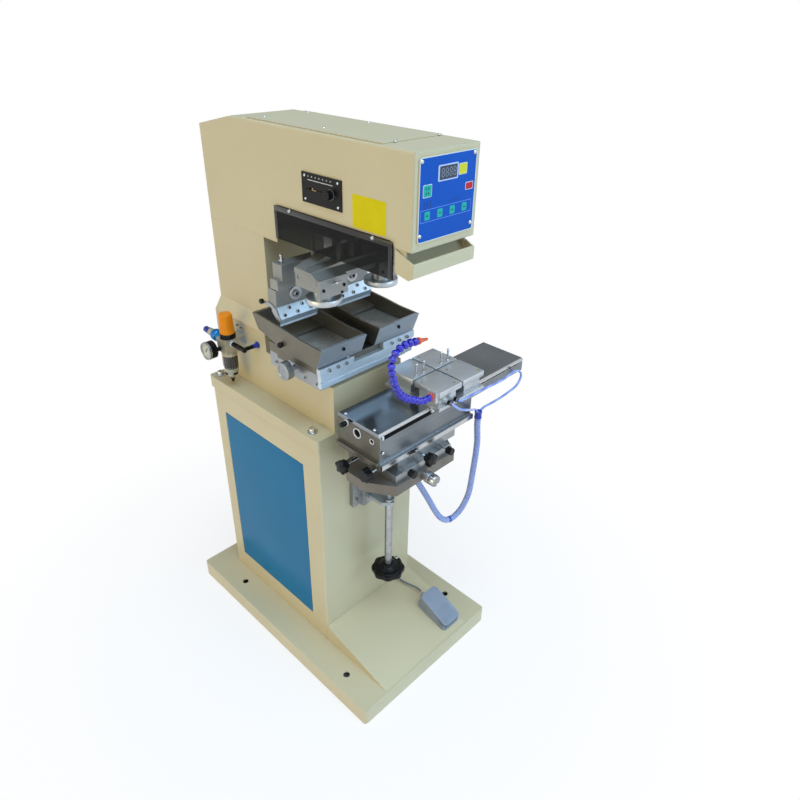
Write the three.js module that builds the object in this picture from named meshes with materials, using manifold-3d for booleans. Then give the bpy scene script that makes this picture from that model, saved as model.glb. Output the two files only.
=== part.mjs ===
import * as THREE from 'three';
import { mergeVertices } from 'three/addons/utils/BufferGeometryUtils.js';
import Module from 'manifold-3d';

const wasm = await Module();
wasm.setup();

// A two-colour pad printing machine, in millimetres. +Z is up, the operator stands at -Y, and the
// origin is the middle of the base's underside.

// Clearances, overruns and drawing steps
const fitGap = 0.3;
const shaftGap = 0.35;
const cutOverrun = 2;
const mergeTolerance = 1e-4;
const bigSides = 28;
const midSides = 18;
const smallSides = 10;
const cornerSteps = 3;

// Base pan and foot ramp
const baseWidth = 478;
const baseDepth = 740;
const baseHeight = 51;
const baseWall = 5;
const baseCornerRadius = 8;
const anchorHoleRadius = 9;
const anchorInset = 40.5;
const anchorFrontInset = 116;
const anchorRearInset = 161;
const rampRise = 55;
const rampLength = 229;
const rampLip = 14;
const baseRibThickness = 8;

// Cabinet and its door
const cabinetWidth = 320;
const cabinetDepth = 439.5;
const cabinetHeight = 632.5;
const cabinetFrontInset = 236;
const cabinetWall = 3;
const cabinetCornerRadius = 5;
const cabinetFlange = 26;
const cabinetFlangeThickness = 6;
const doorRearInset = 44.5;
const doorTopInset = 61.5;
const doorFrontInset = 61;
const doorBottomRise = 59;
const doorGap = 1.5;
const doorThickness = 2.2;
const doorRecess = 0.4;
const doorPinRadius = 0.8;
const doorPinInset = 2.6;
const doorPinLength = 6;
const cordHoleInset = 61;
const cordHoleRise = 62;
const cordHoleRadius = 3.3;

// Valve block inside the cabinet
const valveBlockWidth = 150;
const valveBlockDepth = 60;
const valveBlockHeight = 70;
const valveBlockRise = 249;
const valveCount = 4;
const valveWidth = 22;
const valveHeight = 34;
const valvePitch = 34;

// Table plate with its four bolts
const tableOverhang = 2;
const tableRearOverhang = 9.5;
const tableThickness = 32.7;
const tableCornerRadius = 7;
const tableBoltSideInset = 22;
const tableBoltInset = 42;
const tableBoltRearInset = 21;
const washerRadius = 12;
const washerThickness = 2;
const boltHeadRadius = 8;
const boltHeadHeight = 8;
const boltSocketRadius = 4;
const boltSocketDepth = 4;

// Pedestal and column
const pedestalWidth = 216;
const pedestalDepth = 250;
const pedestalHeight = 119.8;
const pedestalSetback = 1;
const columnDepth = 216;
const columnHeight = 409.8;
const columnWall = 4;
const taperStart = 168.8;
const taperEnd = 200.8;
const tubeHoleRadius = 7;
const tubeHoleBack = 34;

// Head housing, cover and panels
const headWidth = 174;
const headLength = 673;
const headHeight = 236.5;
const headWall = 3;
const headSkirtRise = 64;
const headThroatBack = 404;
const headEdgeRadius = 4;
const headChamferLength = 131;
const headChamferDrop = 29.5;
const coverWidth = 158;
const coverLength = 410;
const coverFrontInset = 85;
const coverThickness = 2;
const coverWindowInset = 14;
const panelWidth = 154;
const panelHeight = 147;
const panelRise = 79;
const panelThickness = 2.6;
const panelCornerRadius = 6;
const panelWindowInset = 16;
const displayWidth = 48;
const displayHeight = 25;
const displayDepth = 0.8;
const displayDrop = 18;
const displayShift = -1;

// Stroke setting plate and knob
const strokePlateLength = 119;
const strokePlateHeight = 59;
const strokePlateThickness = 2.5;
const strokePlateFrontInset = 184;
const strokePlateRise = 101;
const strokeSlotLength = 88;
const strokeSlotHeight = 6;
const strokeSlotRise = 28;
const strokeKnobInset = 15.5;
const strokeKnobRadius = 9;
const strokeKnobHeight = 12;
const strokeStemRadius = 2.4;
const strokeFlangeThickness = 2;
const strokeFlangeRadius = 5.5;

// Smoked side guards and the finger guard
const guardLength = 359;
const guardHeight = 73;
const guardThickness = 3;
const guardDrop = 61;
const guardFrontInset = 45;
const guardCornerRadius = 12;
const guardScrewRadius = 4.5;
const guardScrewHeight = 2;
const guardScrewInset = 54;
const guardScrewDrop = 0.5;
const scoopDepth = 48;
const scoopProud = 5;
const scoopTopDrop = 21;
const scoopHeight = 53;
const scoopWall = 3;
const scoopFloorRise = 7;
const scoopLipInset = 12;
const scoopTabHeight = 15;
const scoopTabLength = 26;

// Slide rods and the drive cylinder in the head
const rodSpacing = 120;
const rodRadius = 10;
const rodRise = 114;
const rodBarDepth = 13;
const rodBarHeight = 34;
const rodRearInset = 175;
const driveRadius = 22;
const driveLength = 150;
const driveRise = 159;
const driveRodRadius = 6;
const driveWall = 5;
const rearBarTopMargin = 26;

// Print carriage and pad cylinder
const carriageWidth = 150;
const carriageLength = 155;
const carriageStandoff = 72;
const carriageBodyHeight = 56;
const carriageBodyRise = 86;
const hangerWidth = 96;
const hangerLength = 145;
const hangerDrop = 62;
const padRodRadius = 8;
const padGuideRadius = 6;
const padGuideSpacing = 72;
const padAxisInset = 125;
const padCylinderRadius = 25;
const padCylinderHeight = 74;
const padCylinderWall = 6;
const bladeRodRadius = 5;
const bladeRodSpacing = 62;
const bladeRodInset = 33;
const driveLugDepth = 24;
const driveLugWidth = 40;

// Pad beam with its dovetail and hub
const unitPitch = 170;
const padBeamHalfLength = 124;
const padBeamDrop = 29;
const padBeamHeight = 22;
const padBeamRearReach = 40;
const padBeamDepth = 54;
const padDovetailLip = 11;
const padDovetailFront = 17;
const padWebInset = 13;
const padHubHalfLength = 37;
const padHubRise = 7;
const padHubSetback = 30;
const padSpineHalfLength = 32.4;
const padSpineRise = 23;
const padSpineDepth = 30;
const padRodTopMargin = 12;

// Pad holders
const holderWidth = 77;
const holderBlockHeight = 17;
const holderFrontLip = 9;
const holderLipDrop = 12;
const holderRearLip = 7;
const holderPostRadius = 21;
const holderPostDrop = 24;
const flangeRadius = 39;
const flangeThickness = 12;
const flangeSetback = 6;
const holderScrewRadius = 3;
const holderScrewLength = 11;
const holderTeeLength = 26;
const holderTeeRadius = 1.8;

// Blade beam, tilt holders and doctor blade clamps
const bladeBeamHalfLength = 130;
const bladeBeamDrop = 35;
const bladeBeamHeight = 36;
const bladeBeamReach = 15;
const bladeBeamDepth = 32;
const stepBlockHeight = 21;
const stepBlockFrontSetback = 8;
const stepBlockDepth = 26;
const bladeUnitWidth = 106;
const tongueWidth = 44;
const tongueThickness = 8;
const tongueDrop = 30;
const tiltGap = 2.4;
const bladeSlabHeight = 39.3;
const bladeSlabDepth = 29;
const bladeSlabReach = 3;
const tiltPinRadius = 6;
const tiltPinReach = 5.5;
const tiltPinDrop = 17.5;
const tiltWasherRadius = 16;
const tiltWasherThickness = 2.5;
const tiltScrewRadius = 8;
const tiltScrewHeight = 5;
const clampFaceDrop = 24;
const clampFaceRun = 13;
const clampLipDrop = 13;
const clampLipRun = 5;
const clampTopReach = 1.4;
const clampDepth = 19;
const clampCornerCut = 14;
const bladeStripDrop = 5;
const bladeStripThickness = 1.2;
const clampScrewRadius = 4;
const clampScrewHeight = 1.6;
const leverThickness = 2.5;
const leverReach = 30;
const leverWidth = 6;
const leverKnobRadius = 5;

// Ink tray stage
const stageWidth = 270;
const stageBaseDepth = 182;
const stageFrontInset = 11;
const stageBaseHeight = 35.7;
const stageGrooveWidth = 40;
const stageGrooveDepth = 9;
const stageGrooveInset = 48;
const stagePlateHeight = 23;
const stagePlateOverhang = 2;
const stagePadHeight = 4.4;
const stagePadWidth = 84;
const stagePadInset = 12;
const railHalfLength = 143;
const railThickness = 11.7;
const railBottomRise = 12;
const railHeight = 34;
const railGrooveHeight = 5;
const railGrooveDepth = 3;
const trayClampHeights = [13.7, 17];
const trayClampLengths = [99, 103];
const trayClampInner = 46;
const trayClampScrewRadius = 3.6;
const trayClampScrewHeight = 3;
const trayClampScrewCount = 3;

// Ink trays
const trayWidth = 130;
const trayWall = 5;
const trayRise = 4.7;
const trayOverhang = 26;
const trayFrontLean = 18;
const trayFrontHeight = 47;
const trayLength = 246;
const trayRearHeight = 61;
const trayFloorThickness = 15;
const trayWellFront = 37;
const trayWellLength = 110;
const trayLedgeThickness = 24;
const trayBendFront = 65;
const trayBendMiddle = 109;
const trayBendRear = 167;
const trayBendFrontHeight = 48.5;
const trayBendMiddleHeight = 53;
const trayBendRearHeight = 57;
const trayHeelStart = 126;
const trayHeelBend = 201;
const trayHeelHeight = 19;
const trayHeelEnd = 227;
const trayHeelEndHeight = 25;
const trayScrewRadius = 4;
const trayScrewHeight = 1.5;
const trayScrewRise = 31;

// Tray adjusting knob
const trayKnobRadius = 21.5;
const trayKnobThickness = 20;
const trayKnobInset = 88;
const trayKnobRise = 27;
const trayKnobStandoff = 16;
const trayKnobStemRadius = 6;
const trayKnobStemReach = 24;
const knobEdge = 2;

// Knee way, bracket and lead screw
const wayWidth = 134;
const wayThickness = 12;
const wayRailWidth = 90;
const wayRailThickness = 13;
const wayDrop = 205.5;
const wayLength = 200;
const saddleWidth = 120;
const saddleThickness = 13;
const saddleHeight = 92;
const kneeRibSpacing = 76;
const kneeRibThickness = 9;
const kneeRibReach = 112;
const kneeRibDrop = 66;
const kneeTopThickness = 12;
const kneeShelfWidth = 96;
const nutRadius = 18;
const nutDrop = 36;
const screwReach = 73;
const screwRadius = 6;
const shaftRadius = 10;
const collarRadius = 13;
const collarHeight = 6;
const screwTopRise = 122;
const shaftLength = 206.7;
const screwStub = 26;
const bracketWidth = 48;
const bracketThickness = 10;
const bracketRise = 14;
const bracketReach = 66;
const bracketPoint = 22;

// Handwheel
const wheelRadius = 45;
const wheelLobeDepth = 3.5;
const wheelLobeCount = 8;
const wheelLobeStepCount = 5;
const wheelThickness = 15;
const wheelHubRadius = 16;
const wheelHubHeight = 15;
const wheelConeRadius = 30;
const wheelConeHeight = 8;

// Cross table
const tableBaseHalfWidth = 137;
const tableBaseRearHalfWidth = 112;
const tableBaseFrontHalfWidth = 98;
const tableBaseGap = 12.4;
const tableBaseCorner = 33;
const tableBaseSide = 57;
const tableBaseNose = 64;
const tableBaseDrop = 47.5;
const tableBaseThickness = 26;
const screwPocketRadius = 8;
const screwPocketDepth = 20;
const crossYHalfWidth = 92;
const crossYInset = 6;
const crossYDepth = 140;
const crossYThickness = 21.4;
const crossXLeft = 70;
const crossXRight = 125;
const crossXInset = 8;
const crossXDepth = 122;
const crossXThickness = 27.4;
const micrometerX = -7;
const micrometerDrop = 13;
const micrometerRadius = 14;
const micrometerLength = 29;
const micrometerSleeveRadius = 11;
const micrometerSleeveLength = 8;
const stemRadius = 4;
const stemReach = 18;
const starRadius = 17;
const starLobeCount = 5;
const starLobeDepth = 4;
const starLobeStepCount = 5;
const starThickness = 16;
const starHubRadius = 8;
const starHubLength = 6;
const starFrontX = -4;
const starFrontReach = 30;
const starLeftInset = 50;
const starLeftReach = 86;
const secondStarInset = 109;
const secondStarReach = 70;
const starDrop = 14;
const lockKnobRadius = 9;
const lockKnobLength = 15;
const lockStemRadius = 2.5;
const lockStemReach = 33;
const lockXs = [-66, 60];
const lockDrop = 20.4;
const hoseGlandRadius = 11;
const hoseGlandHeight = 14;

// Shuttle body, end plate, cover and fixture carriage
const shuttleLeft = 130;
const shuttleRight = 385;
const shuttleDepth = 131;
const shuttleLowerRight = 182;
const shuttleLowerHeight = 56;
const shuttleCoreInset = 2;
const shuttleBeamHeight = 23.6;
const shuttleEndLength = 15;
const shuttleSlotHeight = 3;
const shuttleLipReach = 7;
const shuttleLipHeight = 12;
const shuttleCoverThickness = 8;
const shuttleCoverEdge = 3;
const endPlateThickness = 3;
const endPlateHoleRadius = 9;
const endPlateSmallHoleRadius = 4.5;
const endPlateHoleInset = 67;
const endPlateSmallHoleInset = 22;
const endPlateHoleRise = 65;
const endRibRise = 13;
const endRibHeight = 7;
const endRibReach = 7;
const endFittingInset = 102;
const endFittingRise = 76;
const endFittingRadius = 5.5;
const endFittingLength = 17;
const fixtureLeft = 28;
const fixtureLength = 158;
const fixtureFrontReach = 27;
const fixtureRearReach = 11;
const fixturePlateThickness = 8;
const fixtureSkirtThickness = 5;
const fixtureTabThickness = 2.2;
const fixtureTabReach = 12;
const fixtureBlockInset = 6;
const fixtureTopThickness = 12;
const fixtureTopWidth = 68;
const fixtureTopDepth = 72;
const fixtureColumnPitch = 85.5;
const fixtureRowPitch = 87;
const fixtureRearRowInset = 33;
const fixtureFirstColumnX = 64;
const fixtureHeight = 39.1;
const fixturePinRadius = 2.2;
const fixturePinHeight = 28;
const fixturePinInset = 5;
const hoseBossReach = 6;
const hoseBossWidth = 26;
const hoseBossHeight = 26;
const tubeFittingRadius = 5;
const tubeFittingReach = 9;

// Blow hose of ball segments, with its nozzle: a route chosen by hand
const blowHoseRadius = 8.6;
const blowHoseWaist = 6.4;
const blowHoseBore = 3;
const blowBallCount = 30;
const blowRoutePoints = [
  [21.7, -7, 34.4], [4, -7, 34.4], [-12, -7, 37.4], [-24, -7, 44.4], [-43, -7, 54.4],
  [-62, -7, 66.4], [-79, -7, 83.4], [-90, -7, 101.4], [-97, -7, 119.4], [-102, -7, 138.4],
  [-104, -7, 155.4], [-101, -7, 170.4], [-92, -7, 181.4], [-78, -7, 188.4], [-62, -7, 190.4],
  [-49, -7, 189.4], [-31, -7, 186.6],
];
const nozzleLength = 31;
const nozzleWideRadius = 7.6;
const nozzleTipRadius = 3;
const nozzleBoreRadius = 1.6;

// Air tubes and the wrapped hose: routes chosen by hand
const airTubeRadius = 3;
const firstTubePoints = [
  [80, -36.6, 105.3], [80, -42, 106.3], [88, -47, 109.3], [110, -48, 110.3], [150, -46, 107.3],
  [200, -41, 99.3], [255, -34, 91.3], [306, -22, 84.3], [336, -17, 78.3], [353, -16, 68.3],
  [361, -16, 55.3], [356, -16, 41.3], [340, -17, 31.3], [310, -17, 26.3], [275, -17, 23.3],
  [240, -17, 23.3], [212, -17, 24.3], [196, -17, 19.3], [192, -17, 10.3],
];
const secondTubePoints = [
  [58, -36.6, 105.3], [58, -42, 104.3], [62, -47, 99.3], [72, -49, 91.3], [90, -48, 81.3],
  [112, -43, 69.3], [136, -35, 56.3], [156, -27, 45.3], [172, -21, 34.3], [182, -18, 24.3],
  [186, -17, 10.3],
];
const sleeveRadius = 9;
const sleeveHeight = 20;
const bundleRadius = 8;
const bundleRidge = 0.9;
const bundleBore = 4;
const bundleRibCount = 96;
const bundleRoutePoints = [
  [189, -148, 78.7], [189, -148, 60], [193, -147.5, 34], [197, -147, 6], [198, -146, -30],
  [197, -144.5, -66], [196, -142, -110], [193, -140, -154], [186, -136.5, -184],
  [174, -132, -209], [158, -127, -225], [141, -122, -231], [124, -117, -225], [110, -110, -208],
  [99, -102, -184], [90, -91, -156], [81, -78, -128], [73, -64, -102], [66.5, -49, -78],
  [62.8, -37, -55], [62, -33, -34], [62, -33, -14.3],
];

// Foot pedal and its cord
const pedalSideInset = 40;
const pedalAlong = 72;
const pedalWidth = 68;
const pedalLength = 112;
const pedalSoleHeight = 10;
const pedalCornerRadius = 12;
const pedalWallInset = 3;
const pedalWallThickness = 5;
const pedalWallFrontHeight = 1.5;
const pedalWallMiddleHeight = 16;
const pedalWallRearHeight = 24;
const pedalWallEndInset = 5;
const pedalPivotAlong = 2;
const pedalPivotRise = 20;
const pedalPinRadius = 2.5;
const treadleOverhang = 1;
const treadleEndInset = 2;
const treadleThickness = 5;
const treadleFrontRise = 22;
const treadleRidgeRise = 33;
const treadleRearRise = 41;
const treadleRibCount = 7;
const treadleRibPitch = 7;
const treadleRibWidth = 3;
const treadleRibHeight = 1.2;
const treadleRibInset = 6;
const treadleLugLength = 16;
const pedalCordRadius = 2.8;
const pedalGlandRadius = 5;
const pedalGlandLength = 12;
const pedalGlandRise = 12;
const pedalCordPoints = [
  [-40, -91.4, 46.9], [-40, -85.6, 48.3], [-40.7, -75, 50], [-43.5, -64, 51], [-48, -53, 52.6],
  [-53, -42, 55.2], [-57, -31, 58], [-59.7, -19, 60.8], [-61, -10, 62], [-61, 0.4, 62],
];

// Regulator, gauge and bowl on the column's left side
const regulatorStandoff = 42;
const regulatorInset = 100;
const regulatorRadius = 20;
const regulatorRise = 102.8;
const regulatorHeight = 37;
const regulatorCollarRadius = 19;
const regulatorCollarHeight = 12;
const regulatorCapRadius = 18;
const regulatorCapTopRadius = 16.5;
const regulatorCapHeight = 51;
const regulatorSpindleRadius = 5;
const regulatorSpindleHeight = 30;
const bowlRadius = 18;
const bowlNeckRadius = 14;
const bowlHeight = 69;
const bowlDrainRadius = 4;
const bowlDrainLength = 18;
const bowlWall = 3;
const gaugeRadius = 20.5;
const gaugeThickness = 22;
const gaugeOffset = 19;
const gaugeRise = 9;
const gaugeStemRadius = 5;
const gaugeStandoff = 12;
const inletRadius = 11;
const inletLength = 20;
const inletTubeRadius = 7;
const inletTubeLength = 38;
const inletRise = 25;
const elbowRadius = 6;
const elbowDrop = 34;
const elbowRise = 18;
const colletRadius = 5;
const wallBracketThickness = 4;
const wallBracketWidth = 30;
const wallBracketHeight = 26;
const wallArmThickness = 5;

// Heights and depths worked out from the sizes above
const cabinetFrontY = cabinetFrontInset - baseDepth / 2;
const cabinetBackY = cabinetFrontY + cabinetDepth;
const cabinetTopZ = baseHeight + cabinetHeight;
const tableTopZ = cabinetTopZ + tableThickness;
const tableWidth = cabinetWidth + tableOverhang * 2;
const tableBoltPlaceX = tableWidth / 2 - tableBoltSideInset;
const valveBlockLowZ = baseHeight + valveBlockRise;
const pedestalFrontY = cabinetFrontY + pedestalSetback;
const pedestalTopZ = tableTopZ + pedestalHeight;
const columnFrontY = pedestalFrontY + pedestalDepth;
const columnBackY = columnFrontY + columnDepth;
const columnTopZ = tableTopZ + columnHeight;
const headHalfWidth = headWidth / 2;
const headFrontY = columnBackY - headLength;
const headTopZ = columnTopZ + headHeight;
const headSkirtZ = columnTopZ + headSkirtRise;
const headInsideHalfWidth = headHalfWidth - headWall;
const headSideGapX = headHalfWidth + fitGap;
const rodZ = columnTopZ + rodRise;
const driveZ = columnTopZ + driveRise;
const carriageBottomZ = columnTopZ + carriageBodyRise;
const carriageTopZ = carriageBottomZ + carriageBodyHeight;
const hangerBottomZ = carriageBottomZ - hangerDrop;
const padCylinderTopZ = carriageTopZ + fitGap + padCylinderHeight;
const unitCentres = [-unitPitch / 2, unitPitch / 2];
const rodRearY = columnBackY - rodRearInset;
const carriageRearY = columnFrontY - carriageStandoff;
const padAxisY = carriageRearY - padAxisInset;
const flangeY = padAxisY - flangeSetback;
const padBeamTop = columnTopZ - padBeamDrop;
const padBeamBottom = padBeamTop - padBeamHeight;
const bladeRodY = carriageRearY - bladeRodInset;
const bladeBeamTop = columnTopZ - bladeBeamDrop;
const bladeSlabFrontY = bladeRodY + bladeSlabReach;
const stageBaseTopZ = pedestalTopZ + fitGap + stageBaseHeight;
const stageTopZ = stageBaseTopZ + fitGap + stagePlateHeight;
const stageBaseFrontY = pedestalFrontY + stageFrontInset;
const stageFrontY = stageBaseFrontY - stagePlateOverhang;
const railBackY = stageFrontY - fitGap;
const stageKnobY = stageBaseFrontY + trayKnobInset;
const trayUnderside = stageTopZ + trayRise;
const trayFrontY = stageFrontY - trayOverhang;
const railFrontY = railBackY - railThickness;
const railBottomZ = pedestalTopZ + railBottomRise;
const railTopZ = railBottomZ + railHeight;
const wayFrontY = cabinetFrontY - fitGap - wayThickness;
const wayRailFrontY = wayFrontY - wayRailThickness;
const saddleBackY = wayRailFrontY - fitGap;
const saddleFrontY = saddleBackY - saddleThickness;
const wayLowZ = cabinetTopZ - wayDrop;
const bracketLowZ = wayLowZ + bracketRise;
const shaftTopZ = bracketLowZ - fitGap;
const shaftBottom = shaftTopZ - shaftLength;
const screwTop = bracketLowZ + bracketThickness + screwTopRise;
const screwY = cabinetFrontY - screwReach;
const tableRearY = wayRailFrontY - fitGap - tableBaseGap;
const tableSideRearY = tableRearY - tableBaseCorner;
const tableSideFrontY = tableSideRearY - tableBaseSide;
const tableFrontY = tableSideFrontY - tableBaseNose;
const crossFrontY = tableRearY - crossXInset - crossXDepth;
const starLeftPlaceY = tableRearY - starLeftInset;
const secondStarPlaceY = tableRearY - secondStarInset;
const tableBaseBottom = cabinetTopZ - tableBaseDrop;
const tableBaseTop = tableBaseBottom + tableBaseThickness;
const crossYBottom = tableBaseTop + fitGap;
const crossYTop = crossYBottom + crossYThickness;
const crossXBottom = crossYTop + fitGap;
const crossXTop = crossXBottom + crossXThickness;
const shuttleBottom = crossXTop + fitGap;
const shuttleRearY = tableRearY;
const shuttleFrontY = shuttleRearY - shuttleDepth;
const fixtureFrontY = shuttleFrontY - fixtureFrontReach;
const fixtureRearRowY = shuttleRearY - fixtureRearRowInset;
const shuttleLowerTop = shuttleBottom + shuttleLowerHeight;
const shuttleBeamTop = shuttleLowerTop + shuttleBeamHeight;
const shuttleSlotTop = shuttleBeamTop + shuttleSlotHeight;
const shuttleTop = shuttleSlotTop + fitGap + shuttleCoverThickness;
const fixtureTopZ = shuttleTop + fitGap + fixturePlateThickness + fixtureHeight;
const blowRoute = routeFrom([0, shuttleFrontY, shuttleTop], blowRoutePoints);
const firstTubeRoute = routeFrom([0, shuttleFrontY, shuttleBottom], firstTubePoints);
const secondTubeRoute = routeFrom([0, shuttleFrontY, shuttleBottom], secondTubePoints);
const bundleRoute = routeFrom([0, tableRearY, tableBaseBottom], bundleRoutePoints);
const pedalCordRoute = routeFrom([cabinetWidth / 2, cabinetFrontY, baseHeight], pedalCordPoints);
const rampSlope = Math.atan2(rampRise, rampLength);

// Finishes
const finish = {
  cream: { color: 0xd6d3bd, roughness: 0.45, metalness: 0 },
  blue: { color: 0x1f74a8, roughness: 0.5, metalness: 0 },
  panel: { color: 0x1d4fc4, roughness: 0.35, metalness: 0 },
  black: { color: 0x18181a, roughness: 0.45, metalness: 0 },
  smoked: { color: 0x2a2826, roughness: 0.15, metalness: 0 },
  casting: { color: 0x85888a, roughness: 0.45, metalness: 0.8 },
  steel: { color: 0xb4b9bd, roughness: 0.3, metalness: 0.9 },
  bright: { color: 0xd5dade, roughness: 0.18, metalness: 0.95 },
  aluminium: { color: 0xccd2d6, roughness: 0.35, metalness: 0.8 },
  darkIron: { color: 0x5f5a54, roughness: 0.55, metalness: 0.5 },
  darkSteel: { color: 0x4d5458, roughness: 0.2, metalness: 0.9 },
  hoseBlue: { color: 0x2a22c8, roughness: 0.3, metalness: 0 },
  tubeBlue: { color: 0x93a8e0, roughness: 0.35, metalness: 0 },
  orange: { color: 0xf28c0f, roughness: 0.4, metalness: 0 },
  nozzle: { color: 0xf05a28, roughness: 0.4, metalness: 0 },
  pedal: { color: 0x7f90a8, roughness: 0.5, metalness: 0.1 },
  cordGrey: { color: 0x6d7478, roughness: 0.5, metalness: 0 },
  champagne: { color: 0xb3a88c, roughness: 0.4, metalness: 0.6 },
  bowl: { color: 0x9a978c, roughness: 0.2, metalness: 0 },
  valve: { color: 0x9aa0a4, roughness: 0.4, metalness: 0.6 },
};

// Solids from three.js geometry
function solidOf(geometry) {
  geometry.deleteAttribute('normal');
  geometry.deleteAttribute('uv');
  const merged = mergeVertices(geometry, mergeTolerance);
  const mesh = new wasm.Mesh({
    numProp: 3,
    vertProperties: new Float32Array(merged.attributes.position.array),
    triVerts: new Uint32Array(merged.index.array),
  });
  return new wasm.Manifold(mesh);
}

function join(...solids) {
  return solids.reduce((whole, extra) => whole.add(extra));
}

function cut(solid, ...tools) {
  return tools.reduce((rest, tool) => rest.subtract(tool), solid);
}

function block([x0, x1], [y0, y1], [z0, z1]) {
  const geometry = new THREE.BoxGeometry(x1 - x0, y1 - y0, z1 - z0);
  geometry.translate((x0 + x1) / 2, (y0 + y1) / 2, (z0 + z1) / 2);
  return solidOf(geometry);
}

const axisBasis = {
  x: new THREE.Matrix4().makeBasis(
    new THREE.Vector3(0, 1, 0), new THREE.Vector3(0, 0, 1), new THREE.Vector3(1, 0, 0)),
  y: new THREE.Matrix4().makeBasis(
    new THREE.Vector3(1, 0, 0), new THREE.Vector3(0, 0, 1), new THREE.Vector3(0, -1, 0)),
  z: new THREE.Matrix4(),
};

// An outline drawn on (y, z), (x, z) or (x, y), pushed along the axis from low to high
function extrude(axis, outline, [low, high]) {
  const shape = new THREE.Shape(outline.map(([a, b]) => new THREE.Vector2(a, b)));
  const geometry = new THREE.ExtrudeGeometry(shape, { depth: high - low, bevelEnabled: false });
  const start = axis === 'y' ? -high : low;
  geometry.translate(0, 0, start);
  geometry.applyMatrix4(axisBasis[axis]);
  return solidOf(geometry);
}

function roundedOutline([a0, a1], [b0, b1], radius, lowCorners = true) {
  const corners = [[a1, b1, 0], [a0, b1, 1], [a0, b0, 2], [a1, b0, 3]];
  const points = [];
  for (const [a, b, quarter] of corners) {
    if (quarter > 1 && !lowCorners) {
      points.push([a, b]);
      continue;
    }
    const centreA = a - Math.sign(a - (a0 + a1) / 2) * radius;
    const centreB = b - Math.sign(b - (b0 + b1) / 2) * radius;
    for (let step = 0; step <= cornerSteps; step += 1) {
      const angle = (quarter + step / cornerSteps) * Math.PI / 2;
      points.push([centreA + radius * Math.cos(angle), centreB + radius * Math.sin(angle)]);
    }
  }
  return points;
}

// A turned solid: the profile lists radius and distance along the axis, from low to high
function turned(axis, profile, [a, b], sides) {
  const points = profile.map(([radius, along]) => new THREE.Vector2(radius, along));
  const geometry = new THREE.LatheGeometry(points, sides);
  const turn = { x: [0, 0, -Math.PI / 2], y: [0, 0, 0], z: [Math.PI / 2, 0, 0] }[axis];
  geometry.rotateX(turn[0]);
  geometry.rotateZ(turn[2]);
  const place = { x: [0, a, b], y: [a, 0, b], z: [a, b, 0] }[axis];
  geometry.translate(...place);
  return solidOf(geometry);
}

function rod(axis, radius, centre, [low, high], sides = midSides) {
  return turned(axis, [[0, low], [radius, low], [radius, high], [0, high]], centre, sides);
}

// A lobed disc outline, as on a scalloped handwheel or a star knob
function lobedOutline([a, b], radius, depth, lobes, steps) {
  const points = [];
  const lobeCount = Math.round(lobes);
  const count = lobeCount * Math.round(steps);
  for (let index = 0; index < count; index += 1) {
    const angle = index / count * 2 * Math.PI;
    const reach = radius - depth * (1 - Math.cos(lobeCount * angle)) / 2;
    points.push([a + reach * Math.cos(angle), b + reach * Math.sin(angle)]);
  }
  return points;
}

// A route's points, counted from the place of the piece that holds the hose
function routeFrom([x, y, z], points) {
  return points.map(([a, b, c]) => [x + a, y + b, z + c]);
}

function smoothCurve(route) {
  return new THREE.CatmullRomCurve3(route.map((point) => new THREE.Vector3(...point)), false, 'centripetal');
}

// A plain tube along a route
function tube(route, radius, steps, sides) {
  const section = [];
  for (let index = 0; index < sides; index += 1) {
    const angle = index / sides * 2 * Math.PI;
    section.push(new THREE.Vector2(radius * Math.cos(angle), radius * Math.sin(angle)));
  }
  const geometry = new THREE.ExtrudeGeometry(new THREE.Shape(section), {
    steps, bevelEnabled: false, extrudePath: smoothCurve(route),
  });
  return solidOf(geometry);
}

// A ribbed hose with a bore: ridge and waist rings along the route, and a coarser inner wall
function ribbedHose(route, ridgeRadius, waistRadius, boreRadius, ribs) {
  const ringSides = 8;
  const boreSteps = 5;
  const curve = smoothCurve(route);
  const ringCount = Math.round(ribs) * 2 + 1;
  const frames = curve.computeFrenetFrames(ringCount - 1, false);
  const positions = [];
  const faces = [];
  const addRing = (index, radius) => {
    const centre = curve.getPointAt(index / (ringCount - 1));
    for (let point = 0; point < ringSides; point += 1) {
      const angle = point / ringSides * 2 * Math.PI;
      const place = centre.clone()
        .addScaledVector(frames.normals[index], radius * Math.cos(angle))
        .addScaledVector(frames.binormals[index], radius * Math.sin(angle));
      positions.push(place.x, place.y, place.z);
    }
    return positions.length / 3 - ringSides;
  };
  const bridge = (first, second) => {
    for (let point = 0; point < ringSides; point += 1) {
      const next = (point + 1) % ringSides;
      faces.push(first + point, first + next, second + point);
      faces.push(first + next, second + next, second + point);
    }
  };
  const outer = [];
  for (let index = 0; index < ringCount; index += 1) {
    const endRing = index === 0 || index === ringCount - 1;
    const radius = endRing || index % 2 === 0 ? waistRadius : ridgeRadius;
    outer.push(addRing(index, radius));
  }
  const inner = [];
  for (let index = 0; index < ringCount; index += 2 * boreSteps) {
    inner.push(addRing(index, boreRadius));
  }
  if ((ringCount - 1) % (2 * boreSteps) !== 0) {
    inner.push(addRing(ringCount - 1, boreRadius));
  }
  outer.slice(1).forEach((ring, index) => bridge(outer[index], ring));
  inner.slice(1).forEach((ring, index) => bridge(ring, inner[index]));
  bridge(inner[0], outer[0]);
  bridge(outer[outer.length - 1], inner[inner.length - 1]);
  const geometry = new THREE.BufferGeometry();
  geometry.setAttribute('position', new THREE.Float32BufferAttribute(positions, 3));
  geometry.setIndex(faces);
  return solidOf(geometry);
}

const machine = new THREE.Group();

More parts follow.
